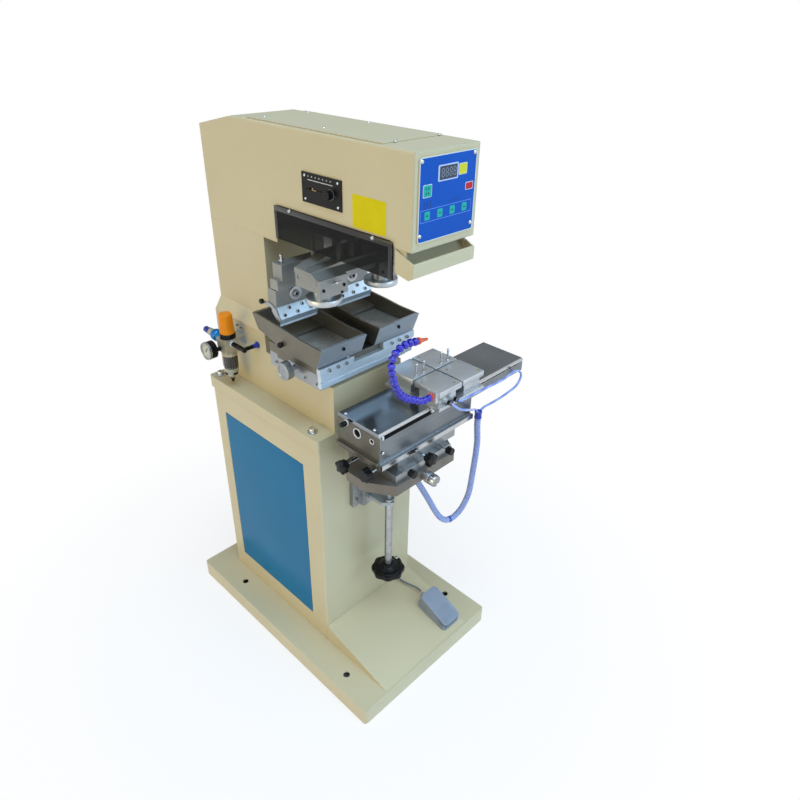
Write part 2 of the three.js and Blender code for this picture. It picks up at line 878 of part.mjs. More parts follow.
function piece(name, solid, look, parent = machine) {
  const result = solid.getMesh();
  const geometry = new THREE.BufferGeometry();
  geometry.setAttribute('position', new THREE.Float32BufferAttribute(result.vertProperties, 3));
  geometry.setIndex(Array.from(result.triVerts));
  const mesh = new THREE.Mesh(geometry, new THREE.MeshStandardMaterial({ ...look, flatShading: true }));
  mesh.name = name;
  parent.add(mesh);
}

// Welded base pan, open below, with the sloped foot ramp on its top
function basePlate() {
  const halfWidth = baseWidth / 2;
  const halfDepth = baseDepth / 2;
  const rampHalf = cabinetWidth / 2;
  const rampBackY = cabinetFrontY - fitGap;
  const rampFrontY = rampBackY - rampLength;
  const rampTopZ = baseHeight + rampRise;
  const outline = roundedOutline([-halfWidth, halfWidth], [-halfDepth, halfDepth], baseCornerRadius);
  const innerHalfWidth = halfWidth - baseWall;
  const innerHalfDepth = halfDepth - baseWall;
  const hollow = block([-innerHalfWidth, innerHalfWidth], [-innerHalfDepth, innerHalfDepth],
    [-cutOverrun, baseHeight - baseWall]);
  const ramp = extrude('x', [[rampFrontY, baseHeight], [rampBackY, rampTopZ], [rampBackY, baseHeight - baseWall],
    [rampFrontY, baseHeight - baseWall]], [-rampHalf, rampHalf]);
  const rampHollow = extrude('x', [
    [rampFrontY + rampLip + baseWall * 4, baseHeight - baseWall - cutOverrun],
    [rampFrontY + rampLip + baseWall * 4, baseHeight - baseWall / 2],
    [rampBackY - baseWall, rampTopZ - baseWall * 2],
    [rampBackY - baseWall, baseHeight - baseWall - cutOverrun],
  ], [baseWall - rampHalf, rampHalf - baseWall]);
  const holeX = halfWidth - anchorInset;
  const holeFrontY = anchorFrontInset - halfDepth;
  const holeRearY = halfDepth - anchorRearInset;
  const holes = [[-holeX, holeFrontY], [holeX, holeFrontY], [-holeX, holeRearY], [holeX, holeRearY]]
    .map((centre) => rod('z', anchorHoleRadius, centre, [-cutOverrun, baseHeight + cutOverrun]));
  const rib = block([-baseRibThickness / 2, baseRibThickness / 2], [-innerHalfDepth - cutOverrun, innerHalfDepth + cutOverrun],
    [0, baseHeight - baseWall / 2]);
  const pan = cut(join(extrude('z', outline, [0, baseHeight]), ramp), hollow, rampHollow, ...holes);
  return join(pan, rib);
}

const doorFrontY = cabinetFrontY + doorFrontInset;
const doorRearY = cabinetBackY - doorRearInset;
const doorBottomZ = baseHeight + doorBottomRise;
const doorTopZ = cabinetTopZ - doorTopInset;
const doorPinX = -cabinetWidth / 2 + doorRecess + doorThickness / 2;
const doorPinY = doorRearY - doorGap - doorPinInset;

// Folded sheet cabinet, open at the bottom, with a bolting flange round its top
function cabinet() {
  const half = cabinetWidth / 2;
  const innerHalf = half - cabinetWall;
  const bottomZ = baseHeight + fitGap;
  const topZ = cabinetTopZ - fitGap;
  const outline = roundedOutline([-half, half], [cabinetFrontY, cabinetBackY], cabinetCornerRadius);
  const innerFrontY = cabinetFrontY + cabinetWall;
  const innerBackY = cabinetBackY - cabinetWall;
  const room = block([-innerHalf, innerHalf], [innerFrontY, innerBackY],
    [bottomZ - cutOverrun, topZ - cabinetFlangeThickness]);
  const mouth = block([cabinetFlange - innerHalf, innerHalf - cabinetFlange],
    [innerFrontY + cabinetFlange, innerBackY - cabinetFlange],
    [topZ - cabinetFlangeThickness - cutOverrun, topZ + cutOverrun]);
  const doorway = block([-half - cutOverrun, cutOverrun - innerHalf], [doorFrontY, doorRearY],
    [doorBottomZ, doorTopZ]);
  const pinHoles = rod('z', doorPinRadius + fitGap, [doorPinX, doorPinY],
    [doorBottomZ - doorPinLength, doorTopZ + doorPinLength], smallSides);
  const cordHole = rod('y', cordHoleRadius, [half - cordHoleInset, baseHeight + cordHoleRise],
    [cabinetFrontY - cutOverrun, innerFrontY + cutOverrun]);
  return cut(extrude('z', outline, [bottomZ, topZ]), room, mouth, doorway, pinHoles, cordHole);
}

function cabinetDoor() {
  const outerX = -cabinetWidth / 2 + doorRecess;
  const leafBottomZ = doorBottomZ + doorGap;
  const leafTopZ = doorTopZ - doorGap;
  const leaf = block([outerX, outerX + doorThickness], [doorFrontY + doorGap, doorRearY - doorGap],
    [leafBottomZ, leafTopZ]);
  const pinEnd = doorPinLength - fitGap;
  const pin = rod('z', doorPinRadius, [doorPinX, doorPinY], [doorBottomZ - pinEnd, doorTopZ + pinEnd], smallSides);
  return join(leaf, pin);
}

// Solenoid valve block on a shelf bracket from the cabinet's rear wall
function valveBlock() {
  const backY = cabinetBackY - cabinetWall - fitGap;
  const frontY = backY - valveBlockDepth;
  const halfWidth = valveBlockWidth / 2;
  const topZ = valveBlockLowZ + valveBlockHeight;
  const body = block([-halfWidth, halfWidth], [frontY, backY], [valveBlockLowZ, topZ]);
  const valves = [];
  for (let index = 0; index < valveCount; index += 1) {
    const x = (index - (valveCount - 1) / 2) * valvePitch;
    const span = [x - valveWidth / 2, x + valveWidth / 2];
    valves.push(block(span, [frontY + valveWidth / 2, backY - valveWidth / 2], [topZ - cutOverrun, topZ + valveHeight]));
  }
  return join(body, ...valves);
}

function bolt([x, y], z) {
  const washer = rod('z', washerRadius, [x, y], [z - cutOverrun, z + washerThickness]);
  const head = rod('z', boltHeadRadius, [x, y], [z, z + washerThickness + boltHeadHeight]);
  const socketTop = z + washerThickness + boltHeadHeight;
  const socket = rod('z', boltSocketRadius, [x, y], [socketTop - boltSocketDepth, socketTop + cutOverrun], 6);
  return cut(join(washer, head), socket);
}

function tablePlate() {
  const half = tableWidth / 2;
  const backY = cabinetBackY + tableRearOverhang;
  const outline = roundedOutline([-half, half], [cabinetFrontY, backY], tableCornerRadius);
  const plate = extrude('z', outline, [cabinetTopZ, tableTopZ]);
  const bolts = [-tableBoltPlaceX, tableBoltPlaceX].flatMap((x) => [
    bolt([x, cabinetFrontY + tableBoltInset], tableTopZ),
    bolt([x, backY - tableBoltRearInset], tableTopZ),
  ]);
  return join(plate, ...bolts);
}

// Hollow pedestal and column in one welding, tapering to the head's width
function column() {
  const bottomZ = tableTopZ + fitGap;
  const wide = pedestalWidth / 2;
  const narrow = headHalfWidth;
  const profile = (shrink, low, high) => [
    [shrink - wide, low], [wide - shrink, low], [wide - shrink, tableTopZ + taperStart - shrink / 2],
    [narrow - shrink, tableTopZ + taperEnd - shrink / 2], [narrow - shrink, high],
    [shrink - narrow, high], [shrink - narrow, tableTopZ + taperEnd - shrink / 2],
    [shrink - wide, tableTopZ + taperStart - shrink / 2],
  ];
  const pedestal = block([-wide, wide], [pedestalFrontY, columnFrontY + columnWall], [bottomZ, pedestalTopZ]);
  const post = extrude('y', profile(0, bottomZ, columnTopZ), [columnFrontY, columnBackY]);
  const pedestalRoom = block([columnWall - wide, wide - columnWall],
    [pedestalFrontY + columnWall, columnFrontY + columnWall * 2],
    [bottomZ - cutOverrun, pedestalTopZ - columnWall]);
  const postRoom = extrude('y', profile(columnWall, bottomZ - cutOverrun, columnTopZ + cutOverrun),
    [columnFrontY + columnWall, columnBackY - columnWall]);
  const tubeHole = rod('x', tubeHoleRadius, [columnFrontY + tubeHoleBack, regulatorLowZ + inletRise],
    [-wide - cutOverrun, columnWall + cutOverrun - wide]);
  return cut(join(pedestal, post), pedestalRoom, postRoom, tubeHole);
}

const strokeSlotZ = columnTopZ + strokePlateRise + strokeSlotRise;
const strokePlateFrontY = headFrontY + strokePlateFrontInset;
const strokePlateMiddleY = strokePlateFrontY + strokePlateLength / 2;

function strokeSlot([x0, x1]) {
  const halfLength = strokeSlotLength / 2;
  return block([x0, x1], [strokePlateMiddleY - halfLength, strokePlateMiddleY + halfLength],
    [strokeSlotZ - strokeSlotHeight / 2, strokeSlotZ + strokeSlotHeight / 2]);
}

// Head housing of folded sheet, open below, with windows behind its cover and panel
function headShell() {
  const bottomZ = columnTopZ + fitGap;
  const throatY = headFrontY + headThroatBack;
  const side = (inset, low) => [
    [headFrontY + inset, low ? bottomZ - cutOverrun : headSkirtZ],
    ...(low ? [] : [[throatY, headSkirtZ], [throatY, bottomZ]]),
    [columnBackY - inset, low ? bottomZ - cutOverrun : bottomZ],
    [columnBackY - inset, headTopZ - headChamferDrop - inset / 2],
    [columnBackY - headChamferLength - inset / 2, headTopZ - inset],
    [headFrontY + inset, headTopZ - inset],
  ];
  const body = extrude('x', side(0, false), [-headHalfWidth, headHalfWidth]);
  const rounding = extrude('y',
    roundedOutline([-headHalfWidth, headHalfWidth], [bottomZ - cutOverrun, headTopZ], headEdgeRadius, false),
    [headFrontY - cutOverrun, columnBackY + cutOverrun]);
  const room = extrude('x', side(headWall, true), [-headInsideHalfWidth, headInsideHalfWidth]);
  const panelHalf = panelWidth / 2 - panelWindowInset;
  const panelLowZ = columnTopZ + panelRise;
  const frontWindow = block([-panelHalf, panelHalf], [headFrontY - cutOverrun, headFrontY + headWall + cutOverrun],
    [panelLowZ + panelWindowInset, panelLowZ + panelHeight - panelWindowInset]);
  const coverHalf = coverWidth / 2 - coverWindowInset;
  const coverFrontY = headFrontY + coverFrontInset;
  const topWindow = block([-coverHalf, coverHalf],
    [coverFrontY + coverWindowInset, coverFrontY + coverLength - coverWindowInset],
    [headTopZ - headWall - cutOverrun, headTopZ + cutOverrun]);
  const slot = strokeSlot([-headHalfWidth - cutOverrun, cutOverrun - headInsideHalfWidth]);
  return cut(body.intersect(rounding), room, frontWindow, topWindow, slot);
}

function headCover() {
  const half = coverWidth / 2;
  const frontY = headFrontY + coverFrontInset;
  const lowZ = headTopZ + fitGap;
  return block([-half, half], [frontY, frontY + coverLength], [lowZ, lowZ + coverThickness]);
}

function controlPanel() {
  const half = panelWidth / 2;
  const lowZ = columnTopZ + panelRise;
  const backY = headFrontY - fitGap;
  const frontY = backY - panelThickness;
  const outline = roundedOutline([-half, half], [lowZ, lowZ + panelHeight], panelCornerRadius);
  const displayTopZ = lowZ + panelHeight - displayDrop;
  const display = block([displayShift - displayWidth / 2, displayShift + displayWidth / 2],
    [frontY - cutOverrun, frontY + displayDepth], [displayTopZ - displayHeight, displayTopZ]);
  return cut(extrude('y', outline, [frontY, backY]), display);
}

function strokePlate() {
  const lowZ = columnTopZ + strokePlateRise;
  const outerX = -headSideGapX - strokePlateThickness;
  const plate = block([outerX, -headSideGapX], [strokePlateFrontY, strokePlateFrontY + strokePlateLength],
    [lowZ, lowZ + strokePlateHeight]);
  return cut(plate, strokeSlot([outerX - cutOverrun, cutOverrun - headSideGapX]));
}

// Sliding knob: its stem passes the slot and a flange holds it behind the wall
function strokeKnob() {
  const centre = [strokePlateMiddleY - strokeSlotLength / 2 + strokeKnobInset, strokeSlotZ];
  const plateOuterX = -headSideGapX - strokePlateThickness;
  const grip = rod('x', strokeKnobRadius, centre,
    [plateOuterX - fitGap - strokeKnobHeight, plateOuterX - fitGap], midSides);
  const flangeOuterX = fitGap - headInsideHalfWidth;
  const stem = rod('x', strokeStemRadius, centre,
    [plateOuterX - strokeKnobHeight / 2, flangeOuterX + strokeFlangeThickness / 2], smallSides);
  const flange = rod('x', strokeFlangeRadius, centre, [flangeOuterX, flangeOuterX + strokeFlangeThickness], smallSides);
  return join(grip, stem, flange);
}

// Smoked side guard, drawn for the left side or mirrored for the right
function sideGuard(side) {
  const frontY = headFrontY + guardFrontInset;
  const backY = frontY + guardLength;
  const lowZ = headSkirtZ - guardDrop;
  const topZ = lowZ + guardHeight;
  const outline = roundedOutline([frontY, backY], [lowZ, topZ], guardCornerRadius, false);
  const innerX = side * headSideGapX;
  const outerX = innerX + side * guardThickness;
  const span = [Math.min(innerX, outerX), Math.max(innerX, outerX)];
  const screwSpan = side < 0 ? [span[0] - guardScrewHeight, span[1]] : [span[0], span[1] + guardScrewHeight];
  const screws = [frontY + guardScrewInset, backY - guardScrewInset]
    .map((y) => rod('x', guardScrewRadius, [y, topZ - guardScrewDrop - guardScrewRadius], screwSpan, smallSides));
  return join(extrude('x', outline, span), ...screws);
}

// Cream scoop under the head's front that keeps fingers out
function fingerGuard() {
  const backY = headFrontY + scoopDepth - scoopProud;
  const frontY = headFrontY - scoopProud;
  const topZ = headSkirtZ - fitGap;
  const lowZ = topZ - scoopHeight;
  const lipY = frontY + scoopLipInset;
  const midZ = lowZ + scoopFloorRise;
  const side = [[backY, topZ], [frontY, topZ - scoopTopDrop], [frontY, midZ], [lipY, lowZ], [backY, midZ]];
  const outer = extrude('x', side, [-headHalfWidth, headHalfWidth]);
  const inside = [
    [backY + cutOverrun, topZ + cutOverrun], [frontY + scoopWall, topZ + cutOverrun],
    [frontY + scoopWall, midZ + scoopWall / 2], [lipY + scoopWall / 2, lowZ + scoopWall],
    [backY + cutOverrun, midZ + scoopWall],
  ];
  const hollow = extrude('x', inside, [scoopWall - headHalfWidth, headHalfWidth - scoopWall]);
  const tabInnerX = headInsideHalfWidth - fitGap - scoopWall;
  const tabOuterX = headInsideHalfWidth - fitGap;
  const tabs = [-1, 1].map((sideSign) => {
    const edges = [sideSign * tabInnerX, sideSign * tabOuterX].sort((a, b) => a - b);
    return block(edges, [backY - scoopTabLength, backY], [midZ, topZ + scoopTabHeight]);
  });
  const webs = [-1, 1].map((sideSign) => {
    const edges = [sideSign * tabInnerX, sideSign * (headHalfWidth - scoopWall / 2)].sort((a, b) => a - b);
    return block(edges, [backY - scoopTabLength, backY], [midZ, midZ + scoopHeight / 2]);
  });
  return join(cut(outer, hollow), ...tabs, ...webs);
}

// Two slide rods held by a front bar and a rear bulkhead inside the head
function rodFrame() {
  const half = headInsideHalfWidth - fitGap;
  const frontY = headFrontY + headWall + fitGap;
  const barLowZ = rodZ - rodBarHeight / 2;
  const front = block([-half, half], [frontY, frontY + rodBarDepth], [barLowZ, barLowZ + rodBarHeight]);
  const rear = block([-half, half], [rodRearY, rodRearY + rodBarDepth], [barLowZ, driveZ + rearBarTopMargin]);
  const rods = [-rodSpacing / 2, rodSpacing / 2]
    .map((x) => rod('y', rodRadius, [x, rodZ], [frontY + rodBarDepth / 2, rodRearY + rodBarDepth / 2]));
  const rodHole = rod('y', driveRodRadius + shaftGap, [0, driveZ],
    [rodRearY - cutOverrun, rodRearY + rodBarDepth + cutOverrun]);
  return cut(join(front, rear, ...rods), rodHole);
}

function driveCylinder() {
  const startY = rodRearY + rodBarDepth + fitGap;
  const body = rod('y', driveRadius, [0, driveZ], [startY, startY + driveLength], bigSides);
  const bore = rod('y', driveRodRadius + shaftGap, [0, driveZ], [startY - cutOverrun, startY + driveLength - driveWall]);
  return cut(body, bore);
}

// Print carriage: a bearing block on the slide rods, its hanger and the drive rod
function printCarriage() {
  const half = carriageWidth / 2;
  const frontY = carriageRearY - carriageLength;
  const body = block([-half, half], [frontY, carriageRearY], [carriageBottomZ, carriageTopZ]);
  const hanger = block([-hangerWidth / 2, hangerWidth / 2], [carriageRearY - hangerLength, carriageRearY],
    [hangerBottomZ, carriageBottomZ + cutOverrun]);
  const lug = block([-driveLugWidth / 2, driveLugWidth / 2], [carriageRearY - driveLugDepth, carriageRearY],
    [carriageTopZ - cutOverrun, driveZ + driveRodRadius * 2]);
  const driveRodEnd = rodRearY + rodBarDepth + driveLength - driveWall * 2;
  const driveRod = rod('y', driveRodRadius, [0, driveZ], [carriageRearY - driveLugDepth / 2, driveRodEnd]);
  const rodBores = [-rodSpacing / 2, rodSpacing / 2]
    .map((x) => rod('y', rodRadius + shaftGap, [x, rodZ], [frontY - cutOverrun, carriageRearY + cutOverrun]));
  const throughZ = [hangerBottomZ - cutOverrun, carriageTopZ + cutOverrun];
  const padBore = rod('z', padRodRadius + shaftGap, [0, padAxisY], throughZ);
  const guideBores = [-padGuideSpacing / 2, padGuideSpacing / 2]
    .map((x) => rod('z', padGuideRadius + shaftGap, [x, padAxisY], throughZ));
  const bladeBores = [-bladeRodSpacing / 2, bladeRodSpacing / 2]
    .map((x) => rod('z', bladeRodRadius + shaftGap, [x, bladeRodY], throughZ));
  return cut(join(body, hanger, lug, driveRod), ...rodBores, padBore, ...guideBores, ...bladeBores);
}

function padCylinder() {
  const lowZ = carriageTopZ + fitGap;
  const body = rod('z', padCylinderRadius, [0, padAxisY], [lowZ, padCylinderTopZ], bigSides);
  const bore = rod('z', padRodRadius + shaftGap, [0, padAxisY], [lowZ - cutOverrun, padCylinderTopZ - padCylinderWall]);
  return cut(body, bore);
}

// Pad beam: a dovetail bar with a hub, a spine and the rods that lift it
function padBeam() {
  const span = [-padBeamHalfLength, padBeamHalfLength];
  const rearY = padAxisY + padBeamRearReach;
  const frontY = rearY - padBeamDepth;
  const webRearY = rearY - padWebInset;
  const dovetailFrontY = frontY - padDovetailFront;
  const lipZ = padBeamTop - padDovetailLip;
  const bar = extrude('x', [
    [rearY, padBeamTop], [rearY, lipZ], [webRearY + padWebInset / 3, lipZ], [webRearY, padBeamBottom],
    [dovetailFrontY, padBeamBottom], [dovetailFrontY, lipZ], [frontY, padBeamTop],
  ], span);
  const hubTopZ = padBeamTop + padHubRise;
  const hub = extrude('y', [
    [-padBeamHalfLength, padBeamTop - padDovetailLip / 2], [padBeamHalfLength, padBeamTop - padDovetailLip / 2],
    [padBeamHalfLength, padBeamTop], [padHubHalfLength, hubTopZ], [-padHubHalfLength, hubTopZ],
    [-padBeamHalfLength, padBeamTop],
  ], [frontY, rearY - padHubSetback]);
  const spineTopZ = padBeamTop + padSpineRise;
  const spine = extrude('y', [
    [-padBeamHalfLength, padBeamTop - padDovetailLip / 2], [padBeamHalfLength, padBeamTop - padDovetailLip / 2],
    [padBeamHalfLength, padBeamTop], [padSpineHalfLength, spineTopZ], [-padSpineHalfLength, spineTopZ],
    [-padBeamHalfLength, padBeamTop],
  ], [rearY - padSpineDepth, rearY]);
  const rodSpan = [lipZ, padCylinderTopZ - padCylinderWall - padRodTopMargin];
  const padRod = rod('z', padRodRadius, [0, padAxisY], rodSpan);
  const guides = [-padGuideSpacing / 2, padGuideSpacing / 2]
    .map((x) => rod('z', padGuideRadius, [x, padAxisY], [lipZ, carriageTopZ - padRodTopMargin], smallSides));
  return join(bar, hub, spine, padRod, ...guides);
}

// Pad holder that hangs on the dovetail, with its post and the flange that takes a pad
function padHolder(x) {
  const half = holderWidth / 2;
  const rearY = padAxisY + padBeamRearReach;
  const frontFaceY = rearY - padBeamDepth - padDovetailFront;
  const topZ = padBeamBottom - fitGap;
  const lowZ = topZ - holderBlockHeight;
  const lipBackY = frontFaceY - fitGap;
  const lipFrontY = lipBackY - holderFrontLip;
  const lipTopZ = padBeamTop - padDovetailLip;
  const hookY = rearY - padWebInset + padWebInset / 3 + fitGap;
  const body = block([x - half, x + half], [lipFrontY, hookY + holderRearLip], [lowZ, topZ]);
  const lip = block([x - half, x + half], [lipFrontY, lipBackY], [lowZ - holderLipDrop, lipTopZ]);
  const hook = block([x - half, x + half], [hookY, hookY + holderRearLip], [lowZ, lipTopZ - fitGap]);
  const flangeTopZ = lowZ - holderPostDrop + cutOverrun;
  const post = rod('z', holderPostRadius, [x, flangeY], [flangeTopZ - cutOverrun, lowZ + cutOverrun]);
  const flange = rod('z', flangeRadius, [x, flangeY], [flangeTopZ - flangeThickness, flangeTopZ], bigSides);
  const screwZ = lipTopZ - holderFrontLip;
  const screwFrontY = lipFrontY - holderScrewLength;
  const screw = rod('y', holderScrewRadius, [x, screwZ], [screwFrontY, lipBackY], smallSides);
  const tee = rod('x', holderTeeRadius, [screwFrontY + holderScrewRadius, screwZ],
    [x - holderTeeLength / 2, x + holderTeeLength / 2], smallSides);
  return join(body, lip, hook, post, flange, screw, tee);
}

const stepTopZ = bladeBeamTop - bladeBeamHeight;
const stepBottomZ = stepTopZ - stepBlockHeight;
const slabTopZ = stepBottomZ - tiltGap;
const slabBottomZ = slabTopZ - bladeSlabHeight;
const slabBackY = bladeSlabFrontY + bladeSlabDepth;
const tiltPinZ = slabTopZ - tiltPinDrop;

// Blade beam with a step block and a hanging tongue at each unit, and its two lift rods
function bladeBeam() {
  const frontY = bladeRodY - bladeBeamReach;
  const bar = block([-bladeBeamHalfLength, bladeBeamHalfLength], [frontY, frontY + bladeBeamDepth],
    [stepTopZ, bladeBeamTop]);
  const half = bladeUnitWidth / 2;
  const stepFrontY = frontY + stepBlockFrontSetback;
  const stepBackY = stepFrontY + stepBlockDepth;
  const tongueFrontY = slabBackY + fitGap;
  const tongueBackY = tongueFrontY + tongueThickness;
  const hung = unitCentres.flatMap((x) => [
    block([x - half, x + half], [stepFrontY, stepBackY], [stepBottomZ, stepTopZ + cutOverrun]),
    block([x - tongueWidth / 2, x + tongueWidth / 2], [stepBackY - cutOverrun, tongueBackY],
      [stepBottomZ + tiltGap, stepTopZ]),
    block([x - tongueWidth / 2, x + tongueWidth / 2], [tongueFrontY, tongueBackY],
      [slabTopZ - tongueDrop, stepTopZ]),
  ]);
  const bores = unitCentres.map((x) => rod('y', tiltPinRadius + shaftGap, [x, tiltPinZ],
    [tongueFrontY - cutOverrun, tongueBackY + cutOverrun]));
  const rods = [-bladeRodSpacing / 2, bladeRodSpacing / 2]
    .map((x) => rod('z', bladeRodRadius, [x, bladeRodY], [stepTopZ + cutOverrun, carriageTopZ - padRodTopMargin], smallSides));
  return cut(join(bar, ...hung, ...rods), ...bores);
}

function bladeHolder(x) {
  const half = bladeUnitWidth / 2;
  const slab = block([x - half, x + half], [bladeSlabFrontY, slabBackY], [slabBottomZ, slabTopZ]);
  const pin = rod('y', tiltPinRadius, [x, tiltPinZ], [slabBackY - cutOverrun, slabBackY + tiltPinReach]);
  const washerFrontY = bladeSlabFrontY - tiltWasherThickness;
  const washer = rod('y', tiltWasherRadius, [x, tiltPinZ], [washerFrontY, bladeSlabFrontY + cutOverrun], bigSides);
  const head = rod('y', tiltScrewRadius, [x, tiltPinZ], [washerFrontY - tiltScrewHeight, bladeSlabFrontY]);
  const socket = rod('y', tiltScrewRadius / 2, [x, tiltPinZ],
    [washerFrontY - tiltScrewHeight - cutOverrun, washerFrontY - cutOverrun / 2], 6);
  return cut(join(slab, pin, washer, head), socket);
}

// Leaning clamp bar under the tilt slab, with its screws, the doctor blade and a release lever
function bladeClamp(x) {
  const half = bladeUnitWidth / 2;
  const topZ = slabBottomZ - fitGap;
  const faceTopY = bladeSlabFrontY - clampTopReach;
  const faceLowY = faceTopY - clampFaceRun;
  const faceLowZ = topZ - clampFaceDrop;
  const lipY = faceLowY + clampLipRun;
  const lipZ = faceLowZ - clampLipDrop;
  const backY = bladeSlabFrontY + clampDepth;
  const bar = extrude('x', [
    [faceTopY, topZ], [faceLowY, faceLowZ], [lipY, lipZ], [faceTopY, lipZ + cutOverrun], [backY, topZ - clampLipDrop],
    [backY, topZ],
  ], [x - half, x + half]);
  const corner = extrude('y', [
    [x + half - clampCornerCut, topZ + cutOverrun], [x + half + cutOverrun, topZ + cutOverrun],
    [x + half + cutOverrun, topZ - clampCornerCut], [x + half, topZ - clampCornerCut],
  ], [faceLowY - cutOverrun, faceTopY + clampTopReach]);
  const strip = extrude('x', [
    [lipY + bladeStripThickness, lipZ + cutOverrun], [lipY, lipZ - bladeStripDrop],
    [lipY + bladeStripThickness, lipZ - bladeStripDrop], [lipY + bladeStripThickness * 3, lipZ + cutOverrun],
  ], [x - half, x + half]);
  const leverInnerX = x - half - fitGap;
  const leverX = [leverInnerX - leverThickness, leverInnerX];
  const leverRearY = backY + leverReach;
  const lever = extrude('x', [
    [faceLowY, faceLowZ - leverWidth], [faceLowY, faceLowZ], [bladeSlabFrontY, topZ - leverWidth / 2],
    [backY, topZ + leverWidth], [leverRearY, topZ + leverWidth], [leverRearY, topZ],
    [backY, topZ - leverWidth / 2], [bladeSlabFrontY, topZ - leverWidth * 2],
  ], leverX);
  const leverKnob = rod('x', leverKnobRadius, [leverRearY, topZ + leverWidth / 2],
    [leverX[0] - leverThickness, leverX[1]], smallSides);
  const leverPivot = rod('x', leverKnobRadius / 2, [bladeSlabFrontY + leverWidth / 2, topZ - leverWidth],
    [leverX[0], leverInnerX + leverWidth], smallSides);
  return join(cut(bar, corner), strip, lever, leverKnob, leverPivot);
}

// Fixed lower plate of the tray stage, with a guide groove across its top
function trayBase() {
  const half = stageWidth / 2;
  const lowZ = pedestalTopZ + fitGap;
  const frontY = stageBaseFrontY;
  const backY = frontY + stageBaseDepth;
  const middleY = backY - stageGrooveInset;
  const plate = block([-half, half], [frontY, backY], [lowZ, stageBaseTopZ]);
  const groove = block([-half - cutOverrun, half + cutOverrun],
    [middleY - stageGrooveWidth / 2, middleY + stageGrooveWidth / 2],
    [stageBaseTopZ - stageGrooveDepth, stageBaseTopZ + cutOverrun]);
  const stemBore = rod('x', trayKnobStemRadius + shaftGap, [stageKnobY, pedestalTopZ + trayKnobRise],
    [-half - cutOverrun, trayKnobStemReach + fitGap - half]);
  return cut(plate, groove, stemBore);
}

function trayStage() {
  const half = stageWidth / 2;
  const backY = stageBaseFrontY + stageBaseDepth;
  const middleY = backY - stageGrooveInset;
  const lowZ = stageBaseTopZ + fitGap;
  const plate = block([-half, half], [stageFrontY, backY], [lowZ, stageTopZ]);
  const tongueHalf = stageGrooveWidth / 2 - fitGap;
  const tongue = block([-half, half], [middleY - tongueHalf, middleY + tongueHalf],
    [stageBaseTopZ - stageGrooveDepth + fitGap, lowZ + cutOverrun]);
  const padTopZ = trayUnderside - fitGap;
  const pads = unitCentres.map((x) => block([x - stagePadWidth / 2, x + stagePadWidth / 2],
    [stageFrontY + stagePadInset, trayFrontY + trayHeelStart - stagePadInset],
    [stageTopZ - stagePadHeight, padTopZ]));
  return join(plate, tongue, ...pads);
}

function frontRail() {
  const bar = block([-railHalfLength, railHalfLength], [railFrontY, railBackY], [railBottomZ, railTopZ]);
  const grooveZ = railBottomZ + railHeight / 3;
  const groove = block([-railHalfLength - cutOverrun, railHalfLength + cutOverrun],
    [railFrontY - cutOverrun, railFrontY + railGrooveDepth], [grooveZ, grooveZ + railGrooveHeight]);
  return cut(bar, groove);
}

// Clamp bar on the rail that holds a tray's front foot
function trayClamp(side) {
  const index = side < 0 ? 0 : 1;
  const inner = side * trayClampInner;
  const outer = inner + side * trayClampLengths[index];
  const span = [Math.min(inner, outer), Math.max(inner, outer)];
  const lowZ = railTopZ + fitGap;
  const topZ = lowZ + trayClampHeights[index];
  const bar = block(span, [railFrontY, railBackY], [lowZ, topZ]);
  const screws = [];
  for (let screw = 0; screw < trayClampScrewCount; screw += 1) {
    const share = (screw + 1) / (trayClampScrewCount + 1);
    const x = span[0] + share * (span[1] - span[0]);
    screws.push(rod('y', trayClampScrewRadius, [x, (lowZ + topZ) / 2],
      [railFrontY - trayClampScrewHeight, railBackY - railThickness / 2], smallSides));
  }
  return join(bar, ...screws);
}

// Cast ink tray: an S-curved trough with a well at its front
function inkTray(x) {
  const half = trayWidth / 2;
  const z = trayUnderside;
  const y = trayFrontY;
  const top = [
    [y, z + trayFrontHeight], [y + trayBendFront, z + trayBendFrontHeight],
    [y + trayBendMiddle, z + trayBendMiddleHeight], [y + trayBendRear, z + trayBendRearHeight],
    [y + trayLength, z + trayRearHeight],
  ];
  const body = extrude('x', [
    ...top, [y + trayHeelEnd, z + trayHeelEndHeight], [y + trayHeelBend, z + trayHeelHeight],
    [y + trayHeelStart, z], [y + trayFrontLean, z],
  ], [x - half, x + half]);
  const wellZ = z + trayFloorThickness;
  const ledgeZ = z + trayLedgeThickness;
  const rimZ = z + trayRearHeight + cutOverrun;
  const wellBackY = y + trayWellFront + trayWellLength;
  const hollow = extrude('x', [
    [y + trayWall, rimZ], [y + trayWall + trayFrontLean / 2, ledgeZ],
    [y + trayWellFront, ledgeZ], [y + trayWellFront, wellZ], [wellBackY, wellZ], [wellBackY, ledgeZ],
    [y + trayHeelBend - trayWall, ledgeZ + trayFloorThickness / 2],
    [y + trayHeelEnd - trayWall, z + trayHeelEndHeight + trayWall * 2], [y + trayLength - trayWall, rimZ],
  ], [x - half + trayWall, x + half - trayWall]);
  const screwZ = z + trayScrewRise;
  const screwY = y + trayFrontLean * (1 - trayScrewRise / trayFrontHeight);
  const screw = rod('y', trayScrewRadius, [x, screwZ], [screwY - trayScrewHeight, screwY + trayWall / 2], smallSides);
  return join(cut(body, hollow), screw);
}

